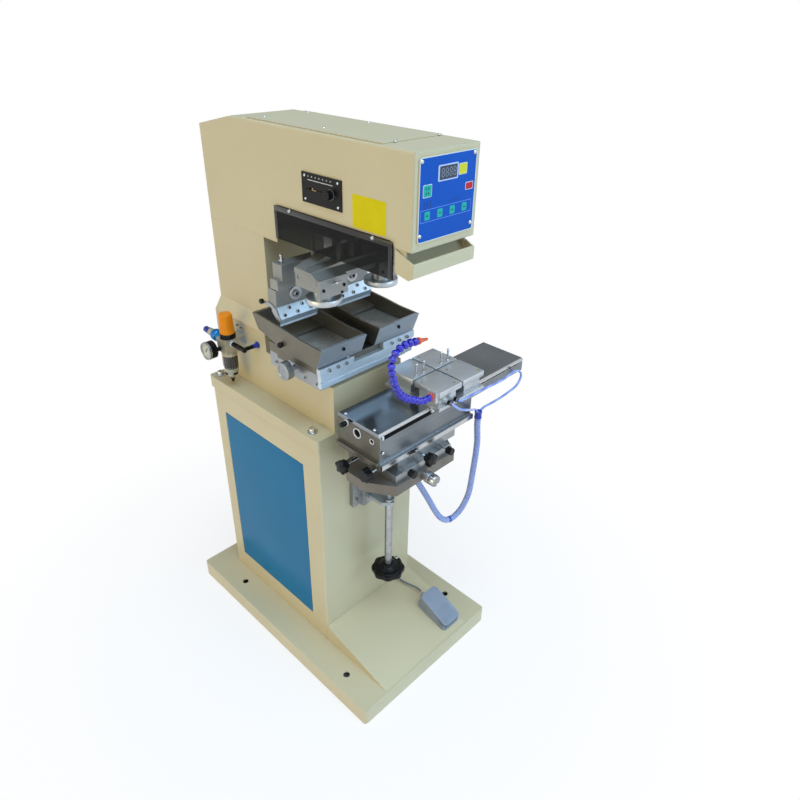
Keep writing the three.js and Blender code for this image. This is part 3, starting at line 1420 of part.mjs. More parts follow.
function trayKnob() {
  const faceX = -stageWidth / 2 - trayKnobStandoff;
  const outerX = faceX - trayKnobThickness;
  const centre = [stageKnobY, pedestalTopZ + trayKnobRise];
  const grip = turned('x', [
    [0, outerX], [trayKnobRadius - knobEdge, outerX], [trayKnobRadius, outerX + knobEdge],
    [trayKnobRadius, faceX - knobEdge], [trayKnobRadius - knobEdge, faceX], [0, faceX],
  ], centre, bigSides);
  const stem = rod('x', trayKnobStemRadius, centre, [faceX - knobEdge, trayKnobStemReach - stageWidth / 2]);
  return join(grip, stem);
}

// Upright slide way bolted to the cabinet's front
function kneeWay() {
  const topZ = wayLowZ + wayLength;
  const backY = cabinetFrontY - fitGap;
  const plate = block([-wayWidth / 2, wayWidth / 2], [wayFrontY, backY], [wayLowZ, topZ]);
  const rail = block([-wayRailWidth / 2, wayRailWidth / 2], [wayRailFrontY, wayFrontY + cutOverrun],
    [wayLowZ, topZ]);
  return join(plate, rail);
}

// Saddle that rides the way and carries the cross table on two ribs and a nut
function kneeBracket() {
  const topZ = tableBaseBottom - fitGap;
  const saddle = block([-saddleWidth / 2, saddleWidth / 2], [saddleFrontY, saddleBackY],
    [topZ - saddleHeight, topZ]);
  const shelfFrontY = saddleFrontY - kneeRibReach;
  const shelf = block([-kneeShelfWidth / 2, kneeShelfWidth / 2], [shelfFrontY, saddleFrontY + cutOverrun],
    [topZ - kneeTopThickness, topZ]);
  const ribs = [-kneeRibSpacing / 2, kneeRibSpacing / 2].map((x) => extrude('x', [
    [saddleFrontY + cutOverrun, topZ - kneeRibDrop], [shelfFrontY, topZ - kneeTopThickness],
    [shelfFrontY, topZ - kneeTopThickness / 2], [saddleFrontY + cutOverrun, topZ - kneeTopThickness / 2],
  ], [x - kneeRibThickness / 2, x + kneeRibThickness / 2]));
  const nut = rod('z', nutRadius, [0, screwY], [topZ - kneeTopThickness - nutDrop, topZ - cutOverrun]);
  const bore = rod('z', screwRadius + shaftGap, [0, screwY],
    [topZ - kneeTopThickness - nutDrop - cutOverrun, topZ + cutOverrun]);
  return cut(join(saddle, shelf, ...ribs, nut), bore);
}

function screwBracket() {
  const backY = wayRailFrontY - fitGap;
  const frontY = backY - bracketReach;
  const half = bracketWidth / 2;
  const plate = extrude('z', [
    [-half, backY], [-half, frontY + bracketPoint], [0, frontY], [half, frontY + bracketPoint], [half, backY],
  ], [bracketLowZ, bracketLowZ + bracketThickness]);
  const bore = rod('z', screwRadius + shaftGap, [0, screwY],
    [bracketLowZ - cutOverrun, bracketLowZ + bracketThickness + cutOverrun]);
  return cut(plate, bore);
}

function leadScrew() {
  const collarZ = bracketLowZ + bracketThickness + fitGap;
  return turned('z', [
    [0, shaftBottom - screwStub], [screwRadius, shaftBottom - screwStub], [screwRadius, shaftBottom],
    [shaftRadius, shaftBottom], [shaftRadius, bracketLowZ - fitGap], [screwRadius, bracketLowZ - fitGap],
    [screwRadius, collarZ], [collarRadius, collarZ], [collarRadius, collarZ + collarHeight],
    [screwRadius, collarZ + collarHeight], [screwRadius, screwTop], [0, screwTop],
  ], [0, screwY], midSides);
}

// Scalloped black handwheel under the lead screw
function handwheel() {
  const topZ = shaftBottom - fitGap;
  const rimTopZ = topZ - wheelHubHeight + cutOverrun;
  const rimLowZ = rimTopZ - wheelThickness;
  const rim = extrude('z', lobedOutline([0, screwY], wheelRadius, wheelLobeDepth, wheelLobeCount, wheelLobeStepCount),
    [rimLowZ, rimTopZ]);
  const hub = turned('z', [
    [0, rimTopZ - cutOverrun], [wheelConeRadius, rimTopZ - cutOverrun], [wheelHubRadius, rimTopZ + wheelConeHeight],
    [wheelHubRadius, topZ], [0, topZ],
  ], [0, screwY], midSides);
  const bore = rod('z', screwRadius + shaftGap, [0, screwY], [shaftBottom - screwStub - cutOverrun, topZ + cutOverrun]);
  return cut(join(rim, hub), bore);
}

// Dark cast base of the cross table, its corners cut off, with the hose gland under it
function tableBase() {
  const outline = [
    [-tableBaseRearHalfWidth, tableRearY], [-tableBaseHalfWidth, tableSideRearY],
    [-tableBaseHalfWidth, tableSideFrontY], [-tableBaseFrontHalfWidth, tableFrontY],
    [tableBaseFrontHalfWidth, tableFrontY], [tableBaseHalfWidth, tableSideFrontY],
    [tableBaseHalfWidth, tableSideRearY], [tableBaseRearHalfWidth, tableRearY],
  ];
  const plate = extrude('z', outline, [tableBaseBottom, tableBaseTop]);
  const pocket = rod('z', screwPocketRadius, [0, screwY],
    [tableBaseBottom - cutOverrun, tableBaseBottom + screwPocketDepth]);
  const micrometerBore = rod('y', stemRadius + shaftGap, [micrometerX, tableBaseTop - micrometerDrop],
    [tableFrontY - cutOverrun, stemReach + fitGap + tableFrontY]);
  return cut(plate, pocket, micrometerBore);
}

function tableYPlate() {
  return block([-crossYHalfWidth, crossYHalfWidth], [tableRearY - crossYInset - crossYDepth, tableRearY - crossYInset], [crossYBottom, crossYTop]);
}

function starKnobOutline(centre) {
  return lobedOutline(centre, starRadius, starLobeDepth, starLobeCount, starLobeStepCount);
}

// A star knob on its stem, pointing away from the plate along -X or -Y
function starKnob(axis, centre, faceAlong, reach) {
  const gripBack = faceAlong - reach;
  const grip = extrude(axis, starKnobOutline(centre), [gripBack - starThickness, gripBack]);
  const hub = rod(axis, starHubRadius, centre, [gripBack - cutOverrun, gripBack + starHubLength]);
  const stem = rod(axis, stemRadius, centre, [gripBack, faceAlong + stemReach], smallSides);
  return join(grip, hub, stem);
}

// Upper cross plate with two small lock screws and the second star knob fixed in it
function tableXPlate() {
  const plate = block([-crossXLeft, crossXRight], [crossFrontY, tableRearY - crossXInset], [crossXBottom, crossXTop]);
  const starZ = crossXTop - starDrop;
  const frontBore = rod('y', stemRadius + shaftGap, [starFrontX, starZ],
    [crossFrontY - cutOverrun, stemReach + fitGap + crossFrontY], smallSides);
  const leftBore = rod('x', stemRadius + shaftGap, [starLeftPlaceY, starZ],
    [-crossXLeft - cutOverrun, stemReach + fitGap - crossXLeft], smallSides);
  const secondKnob = starKnob('x', [secondStarPlaceY, starZ], -crossXLeft, secondStarReach);
  const lockZ = crossXTop - lockDrop;
  const locks = lockXs.flatMap((x) => [
    rod('y', lockStemRadius, [x, lockZ], [crossFrontY - lockStemReach, stemReach + crossFrontY], smallSides),
    rod('y', lockKnobRadius, [x, lockZ],
      [crossFrontY - lockStemReach - lockKnobLength, crossFrontY - lockStemReach], smallSides),
  ]);
  return join(cut(plate, frontBore, leftBore), secondKnob, ...locks);
}

function starKnobFront() {
  return starKnob('y', [starFrontX, crossXTop - starDrop], crossFrontY, starFrontReach);
}

function starKnobLeft() {
  return starKnob('x', [starLeftPlaceY, crossXTop - starDrop], -crossXLeft, starLeftReach);
}

function micrometerKnob() {
  const faceY = tableFrontY - fitGap;
  const gripBackY = faceY - micrometerSleeveLength;
  const tipY = gripBackY - micrometerLength;
  return turned('y', [
    [0, tipY], [micrometerRadius - knobEdge, tipY], [micrometerRadius, tipY + knobEdge],
    [micrometerRadius, gripBackY - knobEdge], [micrometerSleeveRadius, gripBackY],
    [micrometerSleeveRadius, faceY], [stemRadius, faceY], [stemRadius, stemReach + tableFrontY],
    [0, stemReach + tableFrontY],
  ], [micrometerX, tableBaseTop - micrometerDrop], midSides);
}

function hoseGland() {
  const [glandX, glandY] = bundleRoute[bundleRoute.length - 1];
  const lowZ = tableBaseBottom - hoseGlandHeight;
  return rod('z', hoseGlandRadius, [glandX, glandY], [lowZ, tableBaseBottom + cutOverrun]);
}

// Shuttle: a low box and a long beam, raised at both ends to carry the cover plate
function shuttleBody() {
  const frontY = shuttleFrontY;
  const rearY = shuttleRearY;
  const coreFrontY = frontY + shuttleCoreInset;
  const coreRearY = rearY - shuttleCoreInset;
  const leftX = endPlateThickness - shuttleLeft + fitGap;
  const lower = block([leftX, shuttleLowerRight], [coreFrontY, coreRearY],
    [shuttleBottom, shuttleLowerTop + cutOverrun]);
  const beam = block([leftX, shuttleRight], [frontY, rearY], [shuttleLowerTop, shuttleBeamTop]);
  const ends = [[leftX, leftX + shuttleEndLength], [shuttleRight - shuttleEndLength, shuttleRight]]
    .map((span) => block(span, [coreFrontY, coreRearY], [shuttleBeamTop - cutOverrun, shuttleSlotTop]));
  const lip = block([leftX, shuttleLowerRight], [frontY - shuttleLipReach, coreFrontY + cutOverrun],
    [shuttleBottom, shuttleBottom + shuttleLipHeight]);
  return join(lower, beam, ...ends, lip);
}

// Anodised end plate with its air port, small port, ledge and push-in fitting
function shuttleEndPlate() {
  const outerX = -shuttleLeft;
  const innerX = outerX + endPlateThickness;
  const plate = block([outerX, innerX], [shuttleFrontY, shuttleRearY], [shuttleBottom, shuttleSlotTop]);
  const holeZ = shuttleBottom + endPlateHoleRise;
  const through = [outerX - cutOverrun, innerX + cutOverrun];
  const ring = rod('x', endPlateHoleRadius, [shuttleFrontY + endPlateHoleInset, holeZ], through);
  const small = rod('x', endPlateSmallHoleRadius, [shuttleFrontY + endPlateSmallHoleInset, holeZ], through, smallSides);
  const ribZ = shuttleBottom + endRibRise;
  const rib = block([outerX - endRibReach, outerX + endPlateThickness / 2], [shuttleFrontY, shuttleRearY],
    [ribZ, ribZ + endRibHeight]);
  const fitting = rod('x', endFittingRadius, [shuttleFrontY + endFittingInset, shuttleBottom + endFittingRise],
    [outerX - endFittingLength, outerX + endPlateThickness / 2], smallSides);
  return cut(join(plate, rib, fitting), ring, small);
}

function shuttleCover() {
  const lowZ = shuttleSlotTop + fitGap;
  const outline = [
    [shuttleFrontY, lowZ], [shuttleRearY, lowZ], [shuttleRearY, shuttleTop - shuttleCoverEdge],
    [shuttleRearY - shuttleCoverEdge, shuttleTop], [shuttleCoverEdge + shuttleFrontY, shuttleTop],
    [shuttleFrontY, shuttleTop - shuttleCoverEdge],
  ];
  return extrude('x', outline, [-shuttleLeft, shuttleRight]);
}

// Sliding fixture carriage: it wraps the cover, runs in the side slots and carries four plates
function shuttleCarriage() {
  const rightX = fixtureLeft + fixtureLength;
  const bedLowZ = shuttleTop + fitGap;
  const bedTopZ = bedLowZ + fixturePlateThickness;
  const bed = block([fixtureLeft, rightX], [fixtureFrontY, shuttleRearY + fixtureRearReach], [bedLowZ, bedTopZ]);
  const skirtLowZ = shuttleBeamTop + fitGap;
  const frontSkirtY = shuttleFrontY - fitGap;
  const rearSkirtY = shuttleRearY + fitGap;
  const skirts = [
    block([fixtureLeft, rightX], [frontSkirtY - fixtureSkirtThickness, frontSkirtY],
      [skirtLowZ, bedTopZ - cutOverrun]),
    block([fixtureLeft, rightX], [rearSkirtY, rearSkirtY + fixtureSkirtThickness],
      [skirtLowZ, bedTopZ - cutOverrun]),
    block([fixtureLeft, rightX], [frontSkirtY - cutOverrun, frontSkirtY + fixtureTabReach],
      [skirtLowZ, skirtLowZ + fixtureTabThickness]),
    block([fixtureLeft, rightX], [rearSkirtY - fixtureTabReach, rearSkirtY + cutOverrun],
      [skirtLowZ, skirtLowZ + fixtureTabThickness]),
  ];
  const halfWidth = fixtureTopWidth / 2;
  const halfDepth = fixtureTopDepth / 2;
  const topLowZ = fixtureTopZ - fixtureTopThickness;
  const columns = [fixtureFirstColumnX, fixtureFirstColumnX + fixtureColumnPitch];
  const rows = [fixtureRearRowY, fixtureRearRowY - fixtureRowPitch];
  const plates = columns.flatMap((x) => rows.flatMap((y) => [
    block([x - halfWidth, x + halfWidth], [y - halfDepth, y + halfDepth], [topLowZ, fixtureTopZ]),
    block([x - halfWidth + fixtureBlockInset, x + halfWidth - fixtureBlockInset],
      [y - halfDepth + fixtureBlockInset, y + halfDepth - fixtureBlockInset],
      [bedTopZ - cutOverrun, topLowZ + cutOverrun]),
  ]));
  const pins = columns.flatMap((x) => [-1, 1].map((side) => {
    const pinX = x + side * (halfWidth / 2 - fixturePinInset);
    const pinY = fixtureRearRowY - halfDepth + fixturePinInset;
    return rod('z', fixturePinRadius, [pinX, pinY], [fixtureTopZ - cutOverrun, fixtureTopZ + fixturePinHeight], smallSides);
  }));
  const bossY = blowRoute[0][1];
  const boss = block([fixtureFirstColumnX - halfWidth - hoseBossReach - cutOverrun, fixtureFirstColumnX - halfWidth + cutOverrun],
    [bossY - hoseBossWidth / 2, bossY + hoseBossWidth / 2], [fixtureTopZ - hoseBossHeight, fixtureTopZ]);
  const fittings = [firstTubeRoute[0][0], secondTubeRoute[0][0]].map((x) => rod('y', tubeFittingRadius,
    [x, firstTubeRoute[0][2]], [fixtureFrontY - tubeFittingReach, fixtureFrontRowEdge()], smallSides));
  return join(bed, ...skirts, ...plates, ...pins, boss, ...fittings);
}

// How far the tube fittings reach into the front row's lower block
function fixtureFrontRowEdge() {
  const frontRowY = fixtureRearRowY - fixtureRowPitch;
  return frontRowY - fixtureTopDepth / 2 + fixtureBlockInset + cutOverrun;
}

function blowHose() {
  return ribbedHose(blowRoute, blowHoseRadius, blowHoseWaist, blowHoseBore, blowBallCount);
}

// Cone nozzle on the end of the blow hose
function blowNozzle() {
  const group = new THREE.Group();
  const last = new THREE.Vector3(...blowRoute[blowRoute.length - 1]);
  const before = new THREE.Vector3(...blowRoute[blowRoute.length - 2]);
  const heading = last.clone().sub(before).normalize();
  group.position.copy(last).addScaledVector(heading, fitGap);
  group.rotation.y = Math.atan2(-heading.z, heading.x);
  const profile = [
    [0, 0], [nozzleWideRadius, 0], [nozzleWideRadius, nozzleLength / 4], [nozzleTipRadius, nozzleLength], [0, nozzleLength],
  ];
  const bore = rod('x', nozzleBoreRadius, [0, 0], [nozzleLength / 2, nozzleLength + cutOverrun], smallSides);
  piece('blow_nozzle', cut(turned('x', profile, [0, 0], midSides), bore), finish.nozzle, group);
  return group;
}

// Two air tubes from the carriage that run into the blue sleeve of the wrapped hose
function airTubes() {
  const [x, y, z] = bundleRoute[0];
  const sleeveLowZ = z + fitGap;
  const sleeve = rod('z', sleeveRadius, [x, y], [sleeveLowZ, sleeveLowZ + sleeveHeight]);
  const tubeSteps = 60;
  return join(tube(firstTubeRoute, airTubeRadius, tubeSteps, 8), tube(secondTubeRoute, airTubeRadius, tubeSteps / 2, 8), sleeve);
}

function bundleHose() {
  return ribbedHose(bundleRoute, bundleRadius, bundleRadius - bundleRidge, bundleBore, bundleRibCount);
}

// Foot pedal, drawn level and then laid on the ramp: local Y climbs the slope
function pedalGroup() {
  const group = new THREE.Group();
  const rampFrontY = cabinetFrontY - fitGap - rampLength;
  group.position.set(cabinetWidth / 2 - pedalSideInset, rampFrontY + pedalAlong * Math.cos(rampSlope), baseHeight + pedalAlong * Math.sin(rampSlope));
  group.rotation.x = rampSlope;
  piece('pedal_base', pedalBase(), finish.pedal, group);
  piece('pedal_treadle', pedalTreadle(), finish.pedal, group);
  return group;
}

// Sole with two sloping side walls, a rear wall, the cord gland and the pivot holes
function pedalBase() {
  const half = pedalWidth / 2;
  const halfLength = pedalLength / 2;
  const soleTop = pedalSoleHeight;
  const sole = extrude('z', roundedOutline([-half, half], [-halfLength, halfLength], pedalCornerRadius),
    [fitGap, soleTop]);
  const wallEndY = halfLength - pedalWallEndInset;
  const side = [
    [-wallEndY, soleTop - cutOverrun], [-wallEndY, soleTop + pedalWallFrontHeight],
    [pedalPivotAlong, soleTop + pedalWallMiddleHeight], [wallEndY, soleTop + pedalWallRearHeight],
    [wallEndY, soleTop - cutOverrun],
  ];
  const wallOuter = half - pedalWallInset;
  const wallInner = wallOuter - pedalWallThickness;
  const walls = [[-wallOuter, -wallInner], [wallInner, wallOuter]].map((span) => extrude('x', side, span));
  const rear = block([-wallOuter, wallOuter], [wallEndY - pedalWallThickness, wallEndY],
    [soleTop - cutOverrun, soleTop + pedalWallMiddleHeight]);
  const gland = rod('y', pedalGlandRadius, [0, pedalGlandRise],
    [wallEndY - pedalWallThickness, halfLength + pedalGlandLength], smallSides);
  const pinHole = rod('x', pedalPinRadius + shaftGap, [pedalPivotAlong, pedalPivotRise],
    [-half - cutOverrun, half + cutOverrun], smallSides);
  return cut(join(sole, ...walls, rear, gland), pinHole);
}

// Two-slope treadle: smooth at the heel, lengthwise ribs on the toe half, a lug and pin below
function pedalTreadle() {
  const half = pedalWidth / 2 - pedalWallInset + treadleOverhang;
  const endY = pedalLength / 2 - treadleEndInset;
  const ridgeY = pedalPivotAlong;
  const leaf = extrude('x', [
    [-endY, treadleFrontRise - treadleThickness], [ridgeY, treadleRidgeRise - treadleThickness],
    [endY, treadleRearRise - treadleThickness], [endY, treadleRearRise],
    [ridgeY, treadleRidgeRise], [-endY, treadleFrontRise],
  ], [-half, half]);
  const outline = roundedOutline([-half, half], [-endY, endY], pedalCornerRadius);
  const shaped = leaf.intersect(extrude('z', outline, [0, treadleRearRise + cutOverrun]));
  const slope = (treadleRidgeRise - treadleFrontRise) / (ridgeY + endY);
  const ribLowY = treadleRibInset - endY;
  const ribHighY = ridgeY - treadleRibInset;
  const surfaceAt = (y) => treadleRidgeRise - (ridgeY - y) * slope;
  const ribs = [];
  for (let index = 0; index < treadleRibCount; index += 1) {
    const x = (index - (treadleRibCount - 1) / 2) * treadleRibPitch;
    ribs.push(extrude('x', [
      [ribLowY, surfaceAt(ribLowY) - treadleRibHeight], [ribHighY, surfaceAt(ribHighY) - treadleRibHeight],
      [ribHighY, surfaceAt(ribHighY) + treadleRibHeight], [ribLowY, surfaceAt(ribLowY) + treadleRibHeight],
    ], [x - treadleRibWidth / 2, x + treadleRibWidth / 2]));
  }
  const wallInner = pedalWidth / 2 - pedalWallInset - pedalWallThickness;
  const lug = block([fitGap - wallInner, wallInner - fitGap],
    [ridgeY - treadleLugLength / 2, ridgeY + treadleLugLength / 2],
    [pedalPivotRise - treadleThickness, treadleRidgeRise - treadleThickness / 2]);
  const pin = rod('x', pedalPinRadius, [ridgeY, pedalPivotRise],
    [-wallInner - pedalWallThickness, wallInner + pedalWallThickness], smallSides);
  return join(shaped, lug, pin, ...ribs);
}

function pedalCord() {
  return tube(pedalCordRoute, pedalCordRadius, 24, 8);
}

const regulatorPlaceX = -pedestalWidth / 2 - regulatorStandoff;
const regulatorPlaceY = columnFrontY + regulatorInset;
const regulatorLowZ = tableTopZ + regulatorRise;
const gaugePlaceY = regulatorPlaceY + gaugeOffset;
const gaugePlaceZ = regulatorLowZ + gaugeRise;
const regulatorCentre = [regulatorPlaceX, regulatorPlaceY];
const regulatorTopZ = regulatorLowZ + regulatorHeight;
const collarTopZ = regulatorTopZ + regulatorCollarHeight;

// Regulator block with its inlet on the rear, outlet elbow at the front and wall bracket
function regulatorBody() {
  const half = regulatorRadius;
  const [x, y] = regulatorCentre;
  const body = block([x - half, x + half], [y - half, y + half], [regulatorLowZ, regulatorTopZ]);
  const collar = rod('z', regulatorCollarRadius, regulatorCentre, [regulatorTopZ - cutOverrun, collarTopZ]);
  const spindle = rod('z', regulatorSpindleRadius, regulatorCentre,
    [collarTopZ - cutOverrun, collarTopZ + regulatorSpindleHeight], smallSides);
  const inletZ = regulatorLowZ + inletRise;
  const inletEndY = y + half + inletLength;
  const inlet = rod('y', inletRadius, [x, inletZ], [y + half - cutOverrun, inletEndY]);
  const inletTube = rod('y', inletTubeRadius, [x, inletZ], [inletEndY - cutOverrun, inletEndY + inletTubeLength]);
  const elbowY = columnFrontY + tubeHoleBack;
  const elbowZ = inletZ;
  const elbow = rod('y', elbowRadius, [x, elbowZ], [elbowY - elbowRadius, y - half + cutOverrun], smallSides);
  const collet = rod('x', colletRadius, [elbowY, elbowZ], [x, tubeHoleRadius - pedestalWidth / 2], smallSides);
  const wallX = -pedestalWidth / 2 - fitGap;
  const bracket = block([wallX - wallBracketThickness, wallX],
    [y - wallBracketWidth / 2, y + wallBracketWidth / 2], [regulatorTopZ - wallBracketHeight, regulatorTopZ + wallArmThickness]);
  const arm = block([x + half - cutOverrun, wallX - wallBracketThickness / 2],
    [y - wallBracketWidth / 2, y + wallBracketWidth / 2], [regulatorTopZ - wallArmThickness, regulatorTopZ]);
  const gaugeStemZ = gaugePlaceZ;
  const gaugeBore = rod('x', gaugeStemRadius + shaftGap, [gaugePlaceY - gaugeRadius / 2, gaugeStemZ],
    [x - half - cutOverrun, x - half + gaugeStandoff], smallSides);
  return cut(join(body, collar, spindle, inlet, inletTube, elbow, collet, bracket, arm), gaugeBore);
}

function regulatorCap() {
  const lowZ = collarTopZ + fitGap;
  const topZ = lowZ + regulatorCapHeight;
  const outer = turned('z', [
    [0, lowZ], [regulatorCapRadius, lowZ], [regulatorCapTopRadius, topZ - knobEdge],
    [regulatorCapTopRadius - knobEdge, topZ], [0, topZ],
  ], regulatorCentre, bigSides);
  const socket = rod('z', regulatorSpindleRadius + shaftGap, regulatorCentre,
    [lowZ - cutOverrun, collarTopZ + regulatorSpindleHeight + fitGap], smallSides);
  return cut(outer, socket);
}

function regulatorBowl() {
  const topZ = regulatorLowZ - fitGap;
  const lowZ = topZ - bowlHeight;
  const wallTopZ = topZ + cutOverrun;
  const outer = turned('z', [
    [0, lowZ - bowlDrainLength], [bowlDrainRadius, lowZ - bowlDrainLength], [bowlDrainRadius, lowZ],
    [bowlNeckRadius, lowZ], [bowlRadius, lowZ + bowlNeckRadius], [bowlRadius, topZ], [0, topZ],
  ], regulatorCentre, bigSides);
  const hollow = rod('z', bowlRadius - bowlWall, regulatorCentre, [lowZ + bowlNeckRadius, wallTopZ]);
  return cut(outer, hollow);
}

function pressureGauge() {
  const faceX = regulatorPlaceX - regulatorRadius - gaugeStandoff;
  const stemY = gaugePlaceY - gaugeRadius / 2;
  const drum = turned('x', [
    [0, faceX - gaugeThickness], [gaugeRadius - knobEdge, faceX - gaugeThickness],
    [gaugeRadius, faceX - gaugeThickness + knobEdge], [gaugeRadius, faceX], [0, faceX],
  ], [gaugePlaceY, gaugePlaceZ], bigSides);
  const stem = rod('x', gaugeStemRadius, [stemY, gaugePlaceZ],
    [faceX - gaugeThickness / 2, regulatorPlaceX - regulatorRadius + gaugeStandoff - fitGap], smallSides);
  return join(drum, stem);
}

// The whole machine
piece('base_plate', basePlate(), finish.cream);
piece('cabinet', cabinet(), finish.cream);
piece('cabinet_door', cabinetDoor(), finish.blue);
piece('valve_block', valveBlock(), finish.valve);
piece('table_plate', tablePlate(), finish.cream);
piece('column', column(), finish.cream);
piece('head_shell', headShell(), finish.cream);
piece('head_cover', headCover(), finish.cream);
piece('control_panel', controlPanel(), finish.panel);
piece('stroke_plate', strokePlate(), finish.black);
piece('stroke_knob', strokeKnob(), finish.black);
piece('side_guard_left', sideGuard(-1), finish.smoked);
piece('side_guard_right', sideGuard(1), finish.smoked);
piece('finger_guard', fingerGuard(), finish.cream);
piece('rod_frame', rodFrame(), finish.steel);
piece('drive_cylinder', driveCylinder(), finish.aluminium);
piece('print_carriage', printCarriage(), finish.casting);
piece('pad_cylinder', padCylinder(), finish.aluminium);
piece('pad_beam', padBeam(), finish.casting);
piece('blade_beam', bladeBeam(), finish.casting);
piece('tray_base', trayBase(), finish.steel);
piece('tray_stage', trayStage(), finish.casting);
piece('front_rail', frontRail(), finish.aluminium);
for (const [side, name] of [[-1, 'left'], [1, 'right']]) {
  const x = side * unitPitch / 2;
  piece(`pad_holder_${name}`, padHolder(x), finish.casting);
  piece(`blade_holder_${name}`, bladeHolder(x), finish.casting);
  piece(`blade_clamp_${name}`, bladeClamp(x), finish.aluminium);
  piece(`ink_tray_${name}`, inkTray(x), finish.casting);
  piece(`tray_clamp_${name}`, trayClamp(side), finish.aluminium);
}
piece('tray_knob', trayKnob(), finish.aluminium);
piece('knee_way', kneeWay(), finish.steel);
piece('knee_bracket', kneeBracket(), finish.aluminium);
piece('screw_bracket', screwBracket(), finish.aluminium);
piece('lead_screw', leadScrew(), finish.bright);
piece('handwheel', handwheel(), finish.black);
piece('table_base', join(tableBase(), hoseGland()), finish.darkIron);
piece('table_y_plate', tableYPlate(), finish.steel);
piece('table_x_plate', tableXPlate(), finish.steel);
piece('star_knob_front', starKnobFront(), finish.black);
piece('star_knob_left', starKnobLeft(), finish.black);
piece('micrometer_knob', micrometerKnob(), finish.aluminium);
piece('shuttle_body', shuttleBody(), finish.darkSteel);
piece('shuttle_end_plate', shuttleEndPlate(), finish.aluminium);
piece('shuttle_cover', shuttleCover(), finish.darkSteel);
piece('shuttle_carriage', shuttleCarriage(), finish.steel);
piece('blow_hose', blowHose(), finish.hoseBlue);
machine.add(blowNozzle());
piece('air_tubes', airTubes(), finish.tubeBlue);
piece('bundle_hose', bundleHose(), finish.tubeBlue);
machine.add(pedalGroup());
piece('pedal_cord', pedalCord(), finish.cordGrey);
piece('regulator_body', regulatorBody(), finish.champagne);
piece('regulator_cap', regulatorCap(), finish.orange);
piece('regulator_bowl', regulatorBowl(), finish.bowl);
piece('pressure_gauge', pressureGauge(), finish.black);

export default machine;
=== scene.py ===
import math

import bmesh
import bpy
from mathutils import Matrix, Vector


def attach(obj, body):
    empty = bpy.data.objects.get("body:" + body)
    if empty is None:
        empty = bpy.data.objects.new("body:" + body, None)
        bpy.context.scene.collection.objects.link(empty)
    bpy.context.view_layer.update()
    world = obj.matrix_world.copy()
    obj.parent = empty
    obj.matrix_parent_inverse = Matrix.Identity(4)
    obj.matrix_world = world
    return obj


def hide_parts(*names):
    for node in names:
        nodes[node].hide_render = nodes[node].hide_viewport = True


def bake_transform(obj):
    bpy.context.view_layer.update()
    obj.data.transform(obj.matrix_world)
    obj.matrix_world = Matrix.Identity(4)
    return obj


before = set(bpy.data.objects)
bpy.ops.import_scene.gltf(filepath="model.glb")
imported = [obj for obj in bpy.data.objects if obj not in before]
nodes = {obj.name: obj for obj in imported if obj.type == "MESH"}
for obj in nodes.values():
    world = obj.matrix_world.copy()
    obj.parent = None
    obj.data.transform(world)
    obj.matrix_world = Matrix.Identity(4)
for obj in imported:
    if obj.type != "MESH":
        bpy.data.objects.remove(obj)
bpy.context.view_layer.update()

scene = bpy.context.scene
mm = 0.001

# Camera
# A lens of about 29 mm, ahead of the machine and to its left, a little above the head.
eye = Vector((-917.3, -1108.4, 1560.3)) * mm
yaw, pitch, roll = (math.radians(angle) for angle in (46.46, 30.77, 1.36))
ahead = Vector((math.sin(yaw) * math.cos(pitch), math.cos(yaw) * math.cos(pitch), -math.sin(pitch)))
level = Vector((math.cos(yaw), -math.sin(yaw), 0))
upward = level.cross(ahead)
across = level * math.cos(roll) + upward * math.sin(roll)
above = upward * math.cos(roll) - level * math.sin(roll)
camera_data = bpy.data.cameras.new("camera")
camera_data.lens = 29.34
camera_data.sensor_width = 36
camera_data.clip_end = 60
camera = bpy.data.objects.new("camera", camera_data)
camera.matrix_world = Matrix.Translation(eye) @ Matrix((across, above, -ahead)).transposed().to_4x4()
scene.collection.objects.link(camera)
scene.camera = camera
scene.view_settings.view_transform = "Standard"


# Surface effects
# Shared by the finishes below: patches of tone, a fine grain that can be drawn out one way,
# and edges that are rounded and rubbed brighter or darker by handling.
def fill(tree, sockets, values):
    for key, value in values.items():
        socket = sockets[int(key[1:]) if key[0] == "_" else key.replace("__", " ")]
        if isinstance(value, bpy.types.NodeSocket):
            tree.links.new(value, socket)
        else:
            socket.default_value = value


def add(tree, kind, settings=None, **sockets):
    node = tree.nodes.new("ShaderNode" + kind)
    for key, value in (settings or {}).items():
        setattr(node, key, value)
    fill(tree, node.inputs, sockets)
    return node


def maths(tree, operation, first, second=0.5):
    return add(tree, "Math", {"operation": operation}, _0=first, _1=second).outputs[0]


def ranged(tree, value, source=(0, 1), target=(0, 1)):
    return add(tree, "MapRange", Value=value, From__Min=source[0], From__Max=source[1],
               To__Min=target[0], To__Max=target[1]).outputs[0]


def mixed(tree, share, low, high):
    return add(tree, "Mix", {"data_type": "RGBA"}, _0=share, _6=low, _7=high).outputs[2]


def length(tree, vector):
    return add(tree, "VectorMath", {"operation": "LENGTH"}, _0=vector).outputs["Value"]


def own_place(tree):
    return add(tree, "TexCoord").outputs["Object"]


def new_group(name, wanted, given):
    group = bpy.data.node_groups.new(name, "ShaderNodeTree")
    for socket, kind, value in wanted:
        made = group.interface.new_socket(socket, in_out="INPUT", socket_type="NodeSocket" + kind)
        made.default_value = value
    for socket, kind in given:
        group.interface.new_socket(socket, in_out="OUTPUT", socket_type="NodeSocket" + kind)
    return group, group.nodes.new("NodeGroupInput").outputs, group.nodes.new("NodeGroupOutput").inputs


